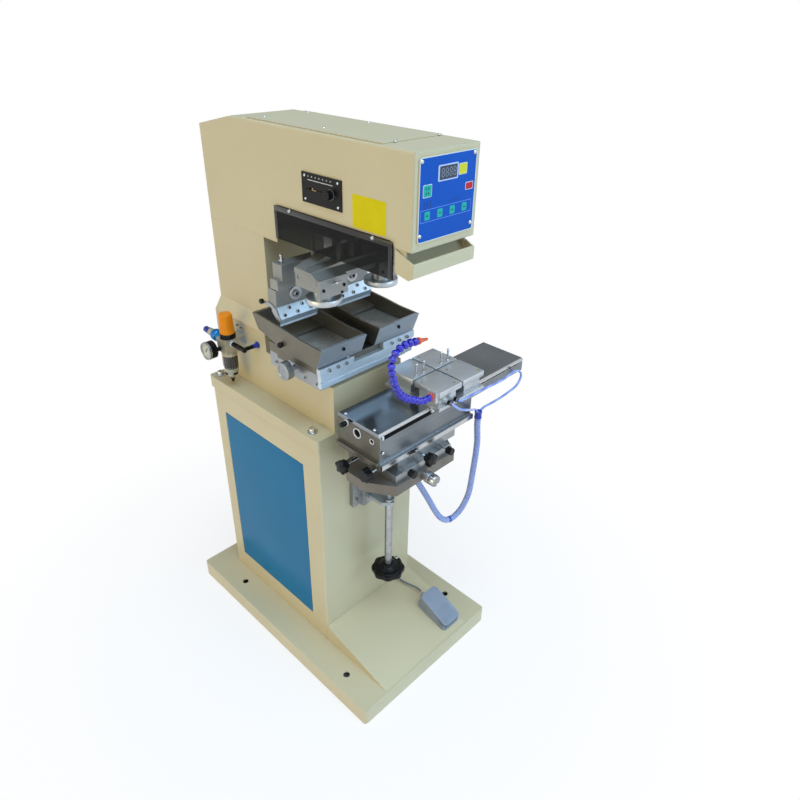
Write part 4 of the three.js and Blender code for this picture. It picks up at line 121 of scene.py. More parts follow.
drifting_grain, wanted, given = new_group(
    "drifting_grain",
    [("Patch Scale", "Float", 6.0), ("Grain Scale", "Float", 900.0), ("Draw Out", "Vector", (1, 1, 1))],
    [("Patch", "Float"), ("Grain", "Float")])
place = own_place(drifting_grain)
patches = add(drifting_grain, "TexNoise", Vector=place, Scale=wanted["Patch Scale"], Detail=4.0)
drawn = add(drifting_grain, "VectorMath", {"operation": "MULTIPLY"}, _0=place, _1=wanted["Draw Out"])
grains = add(drifting_grain, "TexNoise", Vector=drawn.outputs[0], Scale=wanted["Grain Scale"],
             Detail=3.0)
fill(drifting_grain, given, {
    "Patch": ranged(drifting_grain, patches.outputs["Fac"], (0.32, 0.68)), "Grain": grains.outputs["Fac"]})

rounded_edges, wanted, given = new_group(
    "rounded_edges", [("Width", "Float", 0.0008)], [("Normal", "Vector"), ("Edge", "Float")])
soft = add(rounded_edges, "Bevel", {"samples": 4}, Radius=wanted["Width"]).outputs[0]
flat = add(rounded_edges, "NewGeometry").outputs["Normal"]
match = add(rounded_edges, "VectorMath", {"operation": "DOT_PRODUCT"}, _0=soft, _1=flat)
fill(rounded_edges, given, {
    "Normal": soft, "Edge": ranged(rounded_edges, match.outputs["Value"], (0.995, 0.86))})


def tint(red, green, blue):
    linear = [c / 3294.6 if c <= 10.3 else ((c / 255 + 0.055) / 1.055) ** 2.4 for c in (red, green, blue)]
    return (*linear, 1.0)


def new_material(name, **values):
    material = bpy.data.materials.new(name)
    material.use_nodes = True
    tree = material.node_tree
    surface = tree.nodes["Principled BSDF"].inputs
    fill(tree, surface, values)
    return material, tree, surface


def grain_of(tree, patch, grain, draw_out=(1, 1, 1)):
    return add(tree, "Group", {"node_tree": drifting_grain},
               Patch__Scale=patch, Grain__Scale=grain, Draw__Out=draw_out).outputs


# The tones are the usual one, the one it drifts to and the one of rubbed edges. The skin is patches
# and grains per metre and the grain's height in mm; the edge is its rounding in mm and its wear.
def finish(name, colour, drift, rubbed, rough=(0.4, 0.5), skin=(6, 900, 0.05), edge=(0.8, 0.5), metal=0.0,
           draw_out=(1, 1, 1), coat=0.0, gloss=0.5, speck=0.05):
    material, tree, surface = new_material(
        name, Metallic=metal, Coat__Weight=coat, Specular__IOR__Level=gloss)
    grain = grain_of(tree, skin[0], skin[1], draw_out)
    edges = add(tree, "Group", {"node_tree": rounded_edges}, Width=edge[0] * mm).outputs
    tone = mixed(tree, grain["Patch"], tint(*colour), tint(*drift))
    fine = ranged(tree, grain["Grain"], (0.3, 0.7), (1 - speck, 1 + speck * 0.8))
    shaded = add(tree, "VectorMath", {"operation": "SCALE"}, _0=tone, Scale=fine).outputs[0]
    wear = maths(tree, "MULTIPLY", edges["Edge"], edge[1])
    bump = add(tree, "Bump", Strength=1.0, Distance=skin[2] * mm, Height=grain["Grain"],
               Normal=edges["Normal"])
    fill(tree, surface, {"Base Color": mixed(tree, wear, shaded, tint(*rubbed)),
                         "Roughness": ranged(tree, grain["Patch"], target=rough), "Normal": bump.outputs[0]})
    return material


def dress(material, *names):
    for name in names:
        mesh = nodes[name].data
        mesh.materials.clear()
        mesh.materials.append(material)
        mesh.polygons.foreach_set("material_index", [0] * len(mesh.polygons))


def dress_where(name, material, chosen):
    mesh = nodes[name].data
    mesh.materials.append(material)
    for face in mesh.polygons:
        if chosen(*(face.center / mm)):
            face.material_index = len(mesh.materials) - 1


# Air hoses
# Clear blue polyurethane tube, 6 mm, pushed into black fittings on the fixture; both tubes run into
# a blue sleeve, and from there a spiral-wrapped bundle of 16 mm hangs in a loop to the gland below.
def smooth_route(points, steps):
    line = [Vector(point) * mm for point in points]
    line = [line[0] * 2 - line[1], *line, line[-1] * 2 - line[-2]]
    route = []
    for a, b, c, d in zip(line, line[1:], line[2:], line[3:]):
        for step in range(steps):
            t = step / steps
            route.append((b * 2 + (c - a) * t + (a * 2 - b * 5 + c * 4 - d) * t * t
                          + (b * 3 - a - c * 3 + d) * t ** 3) / 2)
    return [*route, line[-2]]


def stands_along(route):
    last = len(route) - 1
    side = (route[1] - route[0]).orthogonal()
    stands = []
    for index, place in enumerate(route):
        along = (route[min(index + 1, last)] - route[max(index - 1, 0)]).normalized()
        side = (side - along * side.dot(along)).normalized()
        turn = Matrix((side, along.cross(side), along)).transposed().to_4x4()
        stands.append(Matrix.Translation(place) @ turn)
    return stands


def piece(name, bm, material, body, slot, replaces="", sharp=35):
    bmesh.ops.remove_doubles(bm, verts=bm.verts, dist=1e-6)
    bmesh.ops.recalc_face_normals(bm, faces=bm.faces)
    mesh = bpy.data.meshes.new(name)
    bm.to_mesh(mesh)
    bm.free()
    for layer in material if isinstance(material, tuple) else (material,):
        mesh.materials.append(layer)
    mesh.shade_smooth()
    mesh.set_sharp_from_angle(angle=math.radians(sharp))
    made = bpy.data.objects.new(name, mesh)
    scene.collection.objects.link(made)
    if body:
        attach(made, body)
    if replaces:
        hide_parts(replaces)
    return made


def hose_form(route, radius, sides=14, ridge=0.0, pitch=1.0):
    bm = bmesh.new()
    along = bm.verts.layers.float.new("along")
    step = bm.verts.layers.int.new("step")
    stands = stands_along(route)
    bmesh.ops.create_circle(bm, segments=sides, radius=radius, matrix=stands[0])
    ring = bm.edges[:]
    travelled = 0.0
    for index, (before, after) in enumerate(zip(stands, stands[1:])):
        travelled += (after.translation - before.translation).length
        grown = bmesh.ops.extrude_edge_only(bm, edges=ring)["geom"]
        fresh = {item for item in grown if isinstance(item, bmesh.types.BMVert)}
        ring = [item for item in grown if isinstance(item, bmesh.types.BMEdge) and set(item.verts) <= fresh]
        bmesh.ops.transform(bm, verts=list(fresh), matrix=after @ before.inverted())
        for vert in fresh:
            vert[along] = travelled
            vert[step] = index + 1
    if ridge:
        for vert in bm.verts:
            stand = stands[vert[step]]
            local = stand.inverted() @ vert.co
            turn = math.atan2(local.y, local.x)
            swell = ridge * math.cos(vert[along] / pitch * 2 * math.pi - turn)
            vert.co += (vert.co - stand.translation) * swell
    bmesh.ops.holes_fill(bm, edges=[edge for edge in bm.edges if edge.is_boundary], sides=0)
    return bm


def length_of(route):
    return sum((b - a).length for a, b in zip(route, route[1:]))


def clear_blue(name, colour, pale, pitch, marks):
    material, tree, surface = new_material(
        name, Roughness=0.22, Coat__Weight=0.5, Subsurface__Weight=0.35, Subsurface__Scale=0.004,
        Subsurface__Radius=(0.5, 0.7, 1.0))
    along = add(tree, "Attribute", {"attribute_name": "along"}).outputs["Fac"]
    wave = maths(tree, "SINE", maths(tree, "MULTIPLY", along, 2 * math.pi / pitch))
    tone = mixed(tree, ranged(tree, wave, (-1, 1), (0.15, 0.85)), tint(*colour), tint(*pale))
    shift = add(tree, "CombineXYZ", X=along).outputs[0]
    noise = add(tree, "TexNoise", Vector=shift, Scale=marks, Detail=2.0).outputs["Fac"]
    dark = ranged(tree, noise, (0.62, 0.7), (0, 0.55))
    fill(tree, surface, {"Base Color": mixed(tree, dark, tone, tint(70, 80, 170))})
    return material


tube_blue = clear_blue("clear_blue_tube", (108, 132, 204), (160, 178, 230), 0.05, 18.0)
wrap_blue = clear_blue("spiral_wrapped_bundle", (92, 112, 186), (176, 190, 226), 0.006, 34.0)
sleeve_blue = finish(
    "blue_sleeve", (34, 60, 170), (28, 50, 150), (80, 110, 210), (0.3, 0.4), edge=(0.5, 0.5))
first_tube = [
    (80, -339.6, 817), (80, -345, 818), (88, -350, 821), (110, -351, 822), (150, -349, 819),
    (200, -344, 811), (255, -337, 803), (306, -325, 796), (336, -320, 790), (353, -319, 780),
    (361, -319, 767), (356, -319, 753), (340, -320, 743), (310, -320, 738), (275, -320, 735),
    (240, -320, 735), (212, -320, 736), (196, -320, 731), (192, -320, 722)]
second_tube = [
    (58, -339.6, 817), (58, -345, 816), (62, -350, 811), (72, -352, 803), (90, -351, 793),
    (112, -346, 781), (136, -338, 768), (156, -330, 757), (172, -324, 746), (182, -321, 736),
    (186, -320, 722)]
for name, points in (("air_tube_long", first_tube), ("air_tube_short", second_tube)):
    route = smooth_route(points, 6)
    tube = piece(name, hose_form(route, 0.003, 12), tube_blue, None, "blue_tube", "air_tubes")
    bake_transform(tube)
bundle = [
    (189, -320, 714.7), (189, -320, 696), (193, -319.5, 670), (197, -319, 642), (198, -318, 606),
    (197, -316.5, 570), (196, -314, 526), (193, -312, 482), (186, -308.5, 452), (174, -304, 427),
    (158, -299, 411), (141, -294, 405), (124, -289, 411), (110, -282, 428), (99, -274, 452),
    (90, -263, 480), (81, -250, 508), (73, -236, 534), (66.5, -221, 558), (62.8, -209, 581),
    (62, -205, 602), (62, -205, 621.7)]
steps_between = 32
whole = smooth_route(bundle, steps_between)
bottom_of_loop = 11 * steps_between
for name, route, bodies, start, end in (
        ("bundle_hose_upper", whole[:bottom_of_loop + 1], ("cross_slide_x", "cross_slide_y"), 1, 10),
        ("bundle_hose_lower", whole[bottom_of_loop:], ("cross_slide_y", "knee"), 12, 20)):
    hose = piece(name, hose_form(route, 0.008, 18, 0.03, 0.006), wrap_blue, None, "blue_tube", "bundle_hose")
    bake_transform(hose)

up, to_left, to_front = (0, 0, 1), (-1, 0, 0), (0, -1, 0)


def stand_at(place, direction=up, spin=0.0):
    turn = Vector(direction).to_track_quat("Z", "Y").to_matrix().to_4x4()
    return Matrix.Translation(Vector(place) * mm) @ turn @ Matrix.Rotation(spin, 4, "Z")


def turn_on(bm, profile, stand, steps):
    old = set(bm.verts)
    verts = [bm.verts.new((radius * mm, 0, along * mm)) for radius, along in profile]
    edges = [bm.edges.new(pair) for pair in zip(verts, verts[1:])]
    bmesh.ops.spin(bm, geom=verts + edges, axis=up, cent=(0, 0, 0), angle=2 * math.pi,
                   steps=steps, use_merge=True)
    bmesh.ops.remove_doubles(bm, verts=[vert for vert in bm.verts if vert not in old], dist=1e-6)
    bmesh.ops.transform(bm, verts=[vert for vert in bm.verts if vert not in old], matrix=stand)
    return bm


def turned(name, profile, stand, steps, *facts, **more):
    piece(name, turn_on(bmesh.new(), profile, stand, steps), *facts, **more)


turned("tube_sleeve", [
    (0, 0), (8.4, 0), (9.3, 1), (9.3, 3), (8.6, 4), (8.6, 15), (9.3, 16), (9.3, 19), (7, 21), (4, 21.4),
    (0, 21.4)], stand_at((189, -320, 714.2)), 32, sleeve_blue, "cross_slide_x", "blue_tube", "air_tubes")
black_rubber = finish(
    "black_moulding", (12, 12, 13), (17, 17, 18), (58, 58, 62), (0.18, 0.32), (30, 1400, 0.04), (0.7, 0.5),
    gloss=0.2)
turned("bundle_tie", [(7.6, -2.5), (8.7, -2.2), (8.7, 2.2), (7.6, 2.5), (7.6, -2.5)],
       stands_along(whole)[bottom_of_loop], 32, sleeve_blue, "cross_slide_y", "black_plastic")

# Pedal cord
# A grey two-core PVC lead, 5.6 mm, from the gland behind the foot switch up the ramp and into a
# hole low in the cabinet's front. The photograph shows it from end to end.
pedal_route = smooth_route([
    (120, -225.4, 97.9), (120, -219.6, 99.3), (119.3, -209, 101), (116.5, -198, 102),
    (112, -187, 103.6), (107, -176, 106.2), (103, -165, 109), (100.3, -153, 111.8),
    (99, -144, 113), (99, -133.6, 113)], 8)
cord_grey = finish(
    "grey_pvc_cord", (104, 112, 122), (94, 102, 112), (140, 146, 154), (0.45, 0.55), (60, 1500, 0.03),
    (0.5, 0.2))
pedal_cord = piece("pedal_lead", hose_form(pedal_route, 0.0028), cord_grey, "frame", "cord_grey",
                   "pedal_cord")


# Stand
# Base pan with its foot ramp, cabinet, table plate and column: folded and welded 4 mm steel sheet
# in cream enamel with a faint orange peel, a little rubbed along its edges.
def cream_enamel(name, *edge):
    return finish(name, (211, 197, 161), (205, 190, 154), (230, 222, 197), (0.32, 0.42), (2.2, 420, 0.07),
                  edge, gloss=0.4, speck=0.012)


cream = cream_enamel("cream_enamel", 1.8, 0.5)
dress(cream, "base_plate", "cabinet", "table_plate", "column")
bright_steel = finish(
    "bright_steel", (196, 200, 204), (188, 192, 196), (232, 235, 238), (0.16, 0.26), (30, 1500, 0.01),
    (0.4, 0.6), 1.0)
dark_hole = finish(
    "shadowed_recess", (18, 18, 19), (24, 24, 25), (40, 40, 42), (0.6, 0.8), edge=(0.3, 0.5), gloss=0.05)


def cap_screw(bm, place, direction, radius, height):
    socket = radius * 0.56
    turn_on(bm, [
        (socket * 1.1, height), (radius * 0.88, height), (radius, height * 0.8), (radius, 0), (0, 0)],
        stand_at(place, direction), 24)
    outside = set(bm.faces)
    turn_on(bm, [
        (0, height * 0.3), (socket * 0.96, height * 0.3), (socket, height * 0.9), (socket * 1.1, height)],
        stand_at(place, direction), 24)
    for face in set(bm.faces) - outside:
        face.material_index = 1


def round_screw(bm, place, direction, radius, height):
    shares = ((0, 0.6), (0.22, 0.62), (0.3, 0.96), (0.62, 0.84), (0.88, 0.52), (1, 0.12), (1, 0), (0, 0))
    turn_on(bm, [(radius * wide, height * high) for wide, high in shares], stand_at(place, direction), 24)


def screws(name, head, spots, direction, radius, height, material, body="frame", slot="bright_steel"):
    bm = bmesh.new()
    for spot in spots:
        head(bm, spot, direction, radius, height)
    piece(name, bm, material, body, slot)


table_bolts = bmesh.new()
for x in (-140, 140):
    for y in (-92, 294):
        turn_on(table_bolts, [(0, 0.1), (12.6, 0.1), (12.9, 0.6), (12.9, 1.9), (12.3, 2.3), (0, 2.3)],
                stand_at((x, y, 716.2)), 36)
        cap_screw(table_bolts, (x, y, 718.4), up, 8.6, 8.2)
piece("table_bolts", table_bolts, (bright_steel, dark_hole), "frame", "bright_steel")

# Cabinet door
# A flush 2 mm sheet door in sky-blue enamel, hinged at its rear edge; a valve block stands behind it.
sky_blue = finish(
    "sky_blue_enamel", (8, 115, 164), (6, 107, 154), (80, 156, 196), (0.16, 0.24), (2.5, 420, 0.05),
    (0.8, 0.6), gloss=0.1, speck=0.012)
dress(sky_blue, "cabinet_door")
anodised = finish(
    "satin_anodised", (198, 204, 208), (184, 190, 195), (230, 234, 237), (0.3, 0.42), (20, 1200, 0.02),
    (0.6, 0.6), 0.9, (0.15, 1, 1))
dress(anodised, "valve_block")

# Head
# The head's housing is one folded cream shell with a sloping rear; a sheet lid is screwed over its
# top opening with six small round-head screws, and a bent sheet guards the fingers in front.
dress(cream_enamel("cream_enamel_folded", 6, 0.4), "head_shell")
dress(cream, "head_cover", "finger_guard")
lining_width, lining_slope, lining_sheet = 0.1716, 0.0583, 0.0015
lining = bmesh.new()
bmesh.ops.create_grid(lining, x_segments=1, y_segments=1, size=0.5)
bmesh.ops.scale(lining, vec=(lining_width, lining_slope, 1), verts=lining.verts)
bmesh.ops.rotate(lining, verts=lining.verts, matrix=Matrix.Rotation(math.atan2(42, 40), 3, "X"))
bmesh.ops.translate(lining, verts=lining.verts, vec=(0, -0.3195, 1.1625))
bmesh.ops.solidify(lining, geom=lining.faces[:], thickness=lining_sheet)
piece("finger_guard_lining", lining, cream, "frame", "cream_paint")
screws("finger_guard_screws", round_screw, [(x, -303.4, 1179) for x in (-62, 52)], (0, -0.72, 0.69),
       3.6, 2.4, bright_steel)
screws("lid_screws", round_screw, [(x, y, 1364.7) for x in (-48, 70) for y in (-256, -62, 132)], up,
       3.8, 2, bright_steel)


# Seam
# The head stands on the column; their joint is filled and painted over, so hardly a line shows.
def slab_on(bm, low, high, soft=0.4, corner=0.0):
    made = bmesh.ops.create_cube(bm, size=1)["verts"]
    size = Vector(high) - Vector(low)
    bmesh.ops.scale(bm, vec=size * mm, verts=made)
    bmesh.ops.translate(bm, vec=(Vector(high) + Vector(low)) / 2 * mm, verts=made)
    edges = list({edge for vert in made for edge in vert.link_edges})
    if corner:
        thin = min(range(3), key=lambda axis: size[axis])
        edges = [edge for edge in edges
                 if abs((edge.verts[0].co - edge.verts[1].co)[thin]) > 0.9 * size[thin] * mm]
    bmesh.ops.bevel(bm, geom=edges, offset=(corner or soft) * mm, affect="EDGES", segments=4 if corner else 2,
                    profile=0.5, material=-1)


def slabs(name, spans, material, body, slot, soft=0.4, corner=0.0):
    bm = bmesh.new()
    for low, high in spans:
        slab_on(bm, low, high, soft, corner)
    piece(name, bm, material, body, slot)


slabs("filled_seam", [
    ((-87.2, 64.4, 1118), (-86.9, 332.8, 1135)), ((86.9, 64.4, 1118), (87.2, 332.8, 1135)),
    ((-87.2, 332.85, 1118), (87.2, 333.2, 1135))], cream_enamel("cream_enamel_filled", 0.2, 0.0),
    "frame", "cream_paint", 0.1)

# Control panel
# A blue printed film on an aluminium plate with a white outline, held by four round-head screws:
# a four-digit display in a pale bezel, seven membrane keys and rows of small lamps, unlettered.
film, tree, surface = new_material("blue_panel_film", Specular__IOR__Level=0.1)
centred = add(tree, "Mapping", Vector=own_place(tree), Location=(0, 0, -1.2785)).outputs[0]
xyz = add(tree, "SeparateXYZ", Vector=centred).outputs
past_x, past_z = (
    maths(tree, "MAXIMUM", maths(tree, "SUBTRACT", maths(tree, "ABSOLUTE", xyz[axis]), straight), 0.0)
    for axis, straight in (("X", 0.0705), ("Z", 0.067)))
reach = length(tree, add(tree, "CombineXYZ", X=past_x, Y=past_z).outputs[0])
grain = grain_of(tree, 9, 1600)
tone = mixed(tree, grain["Patch"], tint(16, 82, 174), tint(22, 88, 184))
outline_from, outline_to = 0.0046, 0.0060
outlined = mixed(tree, maths(tree, "GREATER_THAN", reach, outline_from), tone, tint(222, 228, 226))
bump = add(tree, "Bump", Distance=0.00002, Height=grain["Grain"])
fill(tree, surface, {
    "Base Color": mixed(tree, maths(tree, "GREATER_THAN", reach, outline_to), outlined, tint(211, 197, 161)),
    "Roughness": ranged(tree, grain["Patch"], target=(0.25, 0.36)), "Normal": bump.outputs[0]})
dress(film, "control_panel")
panel_y = -342.9


def printed(name, colour, rough=0.3, gloss=0.25):
    return finish(name, colour, tuple(c * 0.975 for c in colour), tuple(min(255, c * 1.1) for c in colour),
                  (rough, rough + 0.08), (40, 1600, 0.02), (0.4, 0.4), gloss=gloss)


def panel_part(name, colour, spots, proud, corner, rough=0.3):
    slabs(name, [((x0, panel_y - proud, z0), (x1, panel_y + 0.25, z1)) for x0, z0, x1, z1 in spots],
          printed(name + "_print", colour, rough), "frame", "panel_film", 0.05, corner)


key_columns = (-54, -20, 14, 48)
panel_part("display_bezel", (196, 206, 238), [(-29, 1306.5, 25.5, 1334.5)], 0.25, 3)
panel_part("display_window", (66, 72, 88), [(-25, 1309, 22, 1332)], 0.45, 1, 0.12)
panel_part("key_borders", (222, 228, 232), [
    (27, 1311, 50, 1331), (48, 1281.5, 70, 1295.5), (-67, 1284, -44, 1306)], 0.2, 2.5)
panel_part("yellow_key", (226, 214, 40), [(28.2, 1312.2, 48.8, 1329.8)], 0.5, 2)
panel_part("red_key", (204, 34, 44), [(49.2, 1282.7, 68.8, 1294.3)], 0.5, 2)
panel_part("green_keys", (14, 176, 158), [(-65.8, 1285.2, -45.2, 1304.8)] + [
    (x - 7, 1244.5, x + 7, 1259.5) for x in key_columns], 0.5, 2)
panel_part("key_symbols", (8, 92, 84), [(x - 2.6, 1250.6, x + 2.6, 1253.4) for x in key_columns] + [
    (x, z, x + 3, z + 4) for z in (1297, 1289) for x in (-60, -54)], 0.6, 0.6)
panel_part("key_row_outline", (120, 160, 236), [
    (-72, 1241.9, -71.2, 1262.1), (67.2, 1241.9, 68, 1262.1), (-72, 1262.2, 68, 1263),
    (-72, 1241, 68, 1241.8)], 0.12, 0)
lamps = [(x - 1.2, z - 1.2, x + 1.2, z + 1.2) for x in (-62, -54, -46) for z in (1266.5, 1271, 1275.5)]
lamps += [(x - 1.1, 1268, x + 1.1, 1270.2) for x in (4, 12, 20, 28)]
panel_part("panel_lamps", (40, 52, 60), lamps, 0.35, 0.8)
digits = []
for x in (-20, -9.5, 1, 11.5):
    digits += [(x + 1.2, z, x + 6, z + 1.2) for z in (1313, 1319.9, 1326.8)]
    digits += [(left, z, left + 1.2, z + 5.2) for left in (x, x + 6) for z in (1314.4, 1321.3)]
panel_part("unlit_digits", (150, 156, 166), digits, 0.62, 0.3)
screws("panel_screws", round_screw, [(x, panel_y, z) for x in (-71.5, 70) for z in (1218.5, 1345.5)],
       to_front, 4, 2.4, bright_steel)

# Stroke scale
# A black anodised plate on the head's left side with a slot, a row of printed dots and four small
# screws; a knurled black knob with a grey ring clamps the stroke stop in the slot.
black_plate = finish(
    "black_anodised_plate", (12, 12, 13), (17, 17, 18), (76, 76, 80), (0.3, 0.42), (30, 1300, 0.03),
    (0.6, 0.6), gloss=0.2)
dress(black_plate, "stroke_plate")
dress(black_rubber, "stroke_knob")
scale_x = -89.8
screws("scale_screws", round_screw, [(scale_x, y, z) for y in (-47, -146) for z in (1234, 1279.5)],
       to_left, 2.9, 1.8, bright_steel)
scale_marks = bmesh.new()
dot_count, dot_pitch = 7, 11.2
for index in range(dot_count):
    turn_on(scale_marks, [(0, 0.2), (1.3, 0.2), (1.5, 0.05), (1.5, -0.1), (0, -0.1)],
            stand_at((scale_x, -58 - index * dot_pitch, 1279.5), to_left), 12)
slab_on(scale_marks, (scale_x - 0.3, -132, 1271.8), (scale_x + 0.1, -56, 1273.4), soft=0.1)
piece("scale_marks", scale_marks, printed("white_scale_print", (206, 208, 204)), "frame", "black_anodised")
brass = finish(
    "brass", (186, 164, 112), (164, 142, 92), (216, 200, 150), (0.25, 0.4), (60, 1400, 0.01), (0.4, 0.4),
    1.0)
slabs("stop_pointer", [
    ((scale_x + 1.5, -70, 1251.4), (scale_x + 2.3, -66.4, 1259.4)),
    ((scale_x + 1.5, -79, 1251.8), (scale_x + 2.2, -69.8, 1254.4))], brass, "frame", "bright_steel", 0.2)
knob_stand = stand_at((-90.1, -125, 1255), to_left)
turned("stroke_grip", [
    (0, 0), (9, 0), (9.4, 0.8), (9.4, 3.4), (8.2, 4), (7.6, 5), (7.6, 11), (6.8, 12), (3.4, 12.2), (2.6, 11),
    (0, 11)], knob_stand, 24, black_rubber, "stroke_setting", "black_plastic")
turned("stroke_ring", [(9.2, -0.2), (10.6, -0.2), (10.6, 0.6), (9.2, 0.6), (9.2, -0.2)], knob_stand, 32,
       printed("grey_ring", (112, 114, 114)), "stroke_setting", "bright_steel")

# Yellow label
# A blank yellow vinyl sticker, 90 by 62 mm, on the head's left side.
slabs("blank_label", [((-87.35, -274, 1206), (-86.9, -184, 1268))],
      printed("yellow_vinyl", (226, 207, 14), 0.35, 0.1), "frame", "cream_paint", corner=1.2)

# Side guards
# Smoked acrylic plates, 5 mm, one on each side of the head over the moving carriage, clearer towards
# their lower edge, with a darker border and two round-head screws each.
smoked = finish(
    "smoked_acrylic", (8, 8, 9), (12, 11, 11), (80, 78, 74), (0.06, 0.12), (8, 1200, 0.01), (0.9, 0.4),
    gloss=0.12)
tree = smoked.node_tree
height = add(tree, "SeparateXYZ", Vector=own_place(tree)).outputs["Z"]
fill(tree, tree.nodes["Principled BSDF"].inputs, {"Alpha": ranged(tree, height, (1.142, 1.182), (0.66, 0.9))})
dress(smoked, "side_guard_left", "side_guard_right")
border_black = finish("guard_border", (24, 23, 22), (30, 29, 27), (70, 68, 64), (0.2, 0.3), edge=(0.6, 0.5))
for side, name in ((-1, "left"), (1, "right")):
    inner, outer = sorted((side * 90.5, side * 90.9))
    slabs("guard_border_" + name, [
        ((inner, -294, 1190), (outer, 63, 1201)), ((inner, -294, 1130), (outer, -284, 1189.8)),
        ((inner, 53, 1130), (outer, 63, 1189.8))], border_black, "frame", "smoked_plastic", 0.1)
    screws("guard_screws_" + name, round_screw, [(side * 90.2, y, 1197) for y in (-241, 10)], (side, 0, 0),
           4.9, 2.8, bright_steel)

# Slide rods and cylinders inside the head
# Ground and hardened rods, a machined carriage and drawn aluminium cylinder tubes.
ground_steel = finish(
    "ground_steel", (168, 172, 174), (150, 155, 158), (208, 212, 214), (0.26, 0.4), (14, 700, 0.02),
    (0.6, 0.6), 0.9, (0.06, 1, 1))
casting = finish(
    "machined_casting", (158, 158, 153), (136, 137, 134), (200, 202, 201), (0.36, 0.5), (12, 650, 0.04),
    (0.7, 0.65), 0.5, (0.12, 1, 1))
dress(ground_steel, "rod_frame")
dress(anodised, "drive_cylinder", "pad_cylinder")
dress(casting, "print_carriage")

# Pad beam and pad holders
# A dovetailed grey beam that carries two sliding pad holders, each with a round flange for the
# silicone pad, three black cap screws and a bright tee screw that clamps it.
dress(casting, "pad_beam", "pad_holder_left", "pad_holder_right")
black_socket = (black_rubber, dark_hole)
for x, side in ((-85, "left"), (85, "right")):
    body = "pad_" + side
    dress_where("pad_holder_" + side, bright_steel, lambda x, y, z: y < -120.9 and z > 1066)
    turned("pad_flange_" + side, [
        (0, -0.4), (37.6, -0.4), (39.3, 1), (39.5, 2), (39.5, 10), (38.4, 12.3), (30, 12.5), (21.6, 12.5),
        (21.6, 33.5), (0, 33.5)], stand_at((x, -86, 1024)), 64, anodised, body, "anodised", sharp=30)
    holder_screws = bmesh.new()
    for offset in (-28, 28):
        cap_screw(holder_screws, (x + offset, -120.3, 1064), to_front, 3.6, 2.2)
    cap_screw(holder_screws, (x + 22, -120.3, 1049), to_front, 3, 1.8)
    piece("holder_screws_" + side, holder_screws, black_socket, body, "black_plastic")

# Blade beam, holders and clamps
# Two blade holders tilt on a large screw and washer under one bar; each carries a white anodised
# clamp with five cap screws that grips the steel doctor blade, and a steel lever with a black grip.
dress(casting, "blade_beam", "blade_holder_left", "blade_holder_right")
white_anodised = finish(
    "white_anodised", (210, 222, 232), (200, 213, 224), (240, 245, 249), (0.34, 0.44), (20, 900, 0.02),
    (0.7, 0.5), 0.5, (0.1, 1, 1))
dress(white_anodised, "blade_clamp_left", "blade_clamp_right")
screw_steel = finish(
    "plated_screw", (166, 168, 170), (140, 142, 144), (222, 224, 226), (0.2, 0.32), (120, 1500, 0.01),
    (0.4, 0.8), 1.0)
steel_socket = (screw_steel, dark_hole)
for middle, side in ((-85, "left"), (85, "right")):
    body = "blade_" + side
    dress_where("blade_clamp_" + side, ground_steel, lambda x, y, z: x < middle - 52.6)
    spots = [(middle + offset, 13.6 - 13 * share, 992 - 24 * share)
             for offset, share in ((-40, 0.75), (-4, 0.75), (34, 0.75), (-22, 0.25), (14, 0.25))]
    screws("clamp_screws_" + side, cap_screw, spots, (0, -0.879, 0.476), 4.6, 2.6, steel_socket, body)
    turned("tilt_washer_" + side, [
        (0, -0.1), (16.4, -0.1), (16.6, 0.4), (16.6, 2.4), (15.9, 3), (9, 3), (8.6, 2.6), (0, 2.6)],
        stand_at((middle, 15, 1014.1), to_front), 40, anodised, body, "anodised", sharp=30)
    screws("tilt_screw_" + side, cap_screw, [(middle, 12.5, 1014.1)], to_front, 8, 5.6, steel_socket, body)
    turned("lever_grip_" + side, [(0, -0.2), (5.6, -0.2), (6, 0.6), (6, 5), (5, 6.2), (0, 6.4)],
           stand_at((middle - 55.6, 64, 995), to_left), 24, black_rubber, body, "black_plastic")
adjusters = bmesh.new()
for x in (-118, 118):
    turn_on(adjusters, [
        (0, 0), (2.6, 0), (2.6, 6), (5.4, 6), (5.4, 9), (2.6, 9), (2.6, 15), (3.6, 16), (3.6, 19), (2, 20),
        (0, 20)], stand_at((x, 12, 1091)), 16)
piece("beam_adjusters", adjusters, bright_steel, "blade_lifter", "bright_steel")

# Ink trays and their stage
# Two milled trays, open at the top, sit on a ground stage that slides on the fixed base; clamps on
# the front rail hold them, and a knurled knob on the left shifts the stage.
tray_grey = finish(
    "milled_tray", (122, 118, 107), (104, 101, 92), (196, 196, 190), (0.34, 0.5), (9, 520, 0.04),
    (0.9, 0.6), 0.7, (1, 0.1, 1))
dress(tray_grey, "ink_tray_left", "ink_tray_right", "tray_stage")
# The tray fronts take a lighter, cooler copy of the tray metal: painted light on the faces turned to the
# front, with the milled grain running across them.
tray_front_painted_light = finish(
    "milled_tray_front", (172, 180, 188), (156, 164, 172), (214, 218, 220), (0.34, 0.5), (12, 520, 0.04),
    (0.9, 0.6), 0.6, (0.1, 1, 1))
dress(ground_steel, "tray_base")
dress(white_anodised, "front_rail", "tray_clamp_left", "tray_clamp_right")
well_floor = finish(
    "ground_tray_floor", (190, 186, 178), (158, 154, 147), (196, 198, 198), (0.24, 0.4), (16, 420, 0.03),
    (0.5, 0.5), 0.5, (1, 0.05, 1))
for middle, side in ((-85, "left"), (85, "right")):
    # Faces ahead of the tray walls get the painted-light front copy.
    dress_where("ink_tray_" + side, tray_front_painted_light, lambda x, y, z: y < -136)
    slabs("tray_floor_" + side, [((middle - 59.8, -112.6, 914.8), (middle + 59.8, -3.4, 915.6))], well_floor,
          "stage", "grey_casting", 0.2)
    screws("tray_screw_" + side, cap_screw, [(middle, -145.6, 931)], (0, -1, 0.38), 4.4, 2.2, black_socket,
           "stage", "black_plastic")
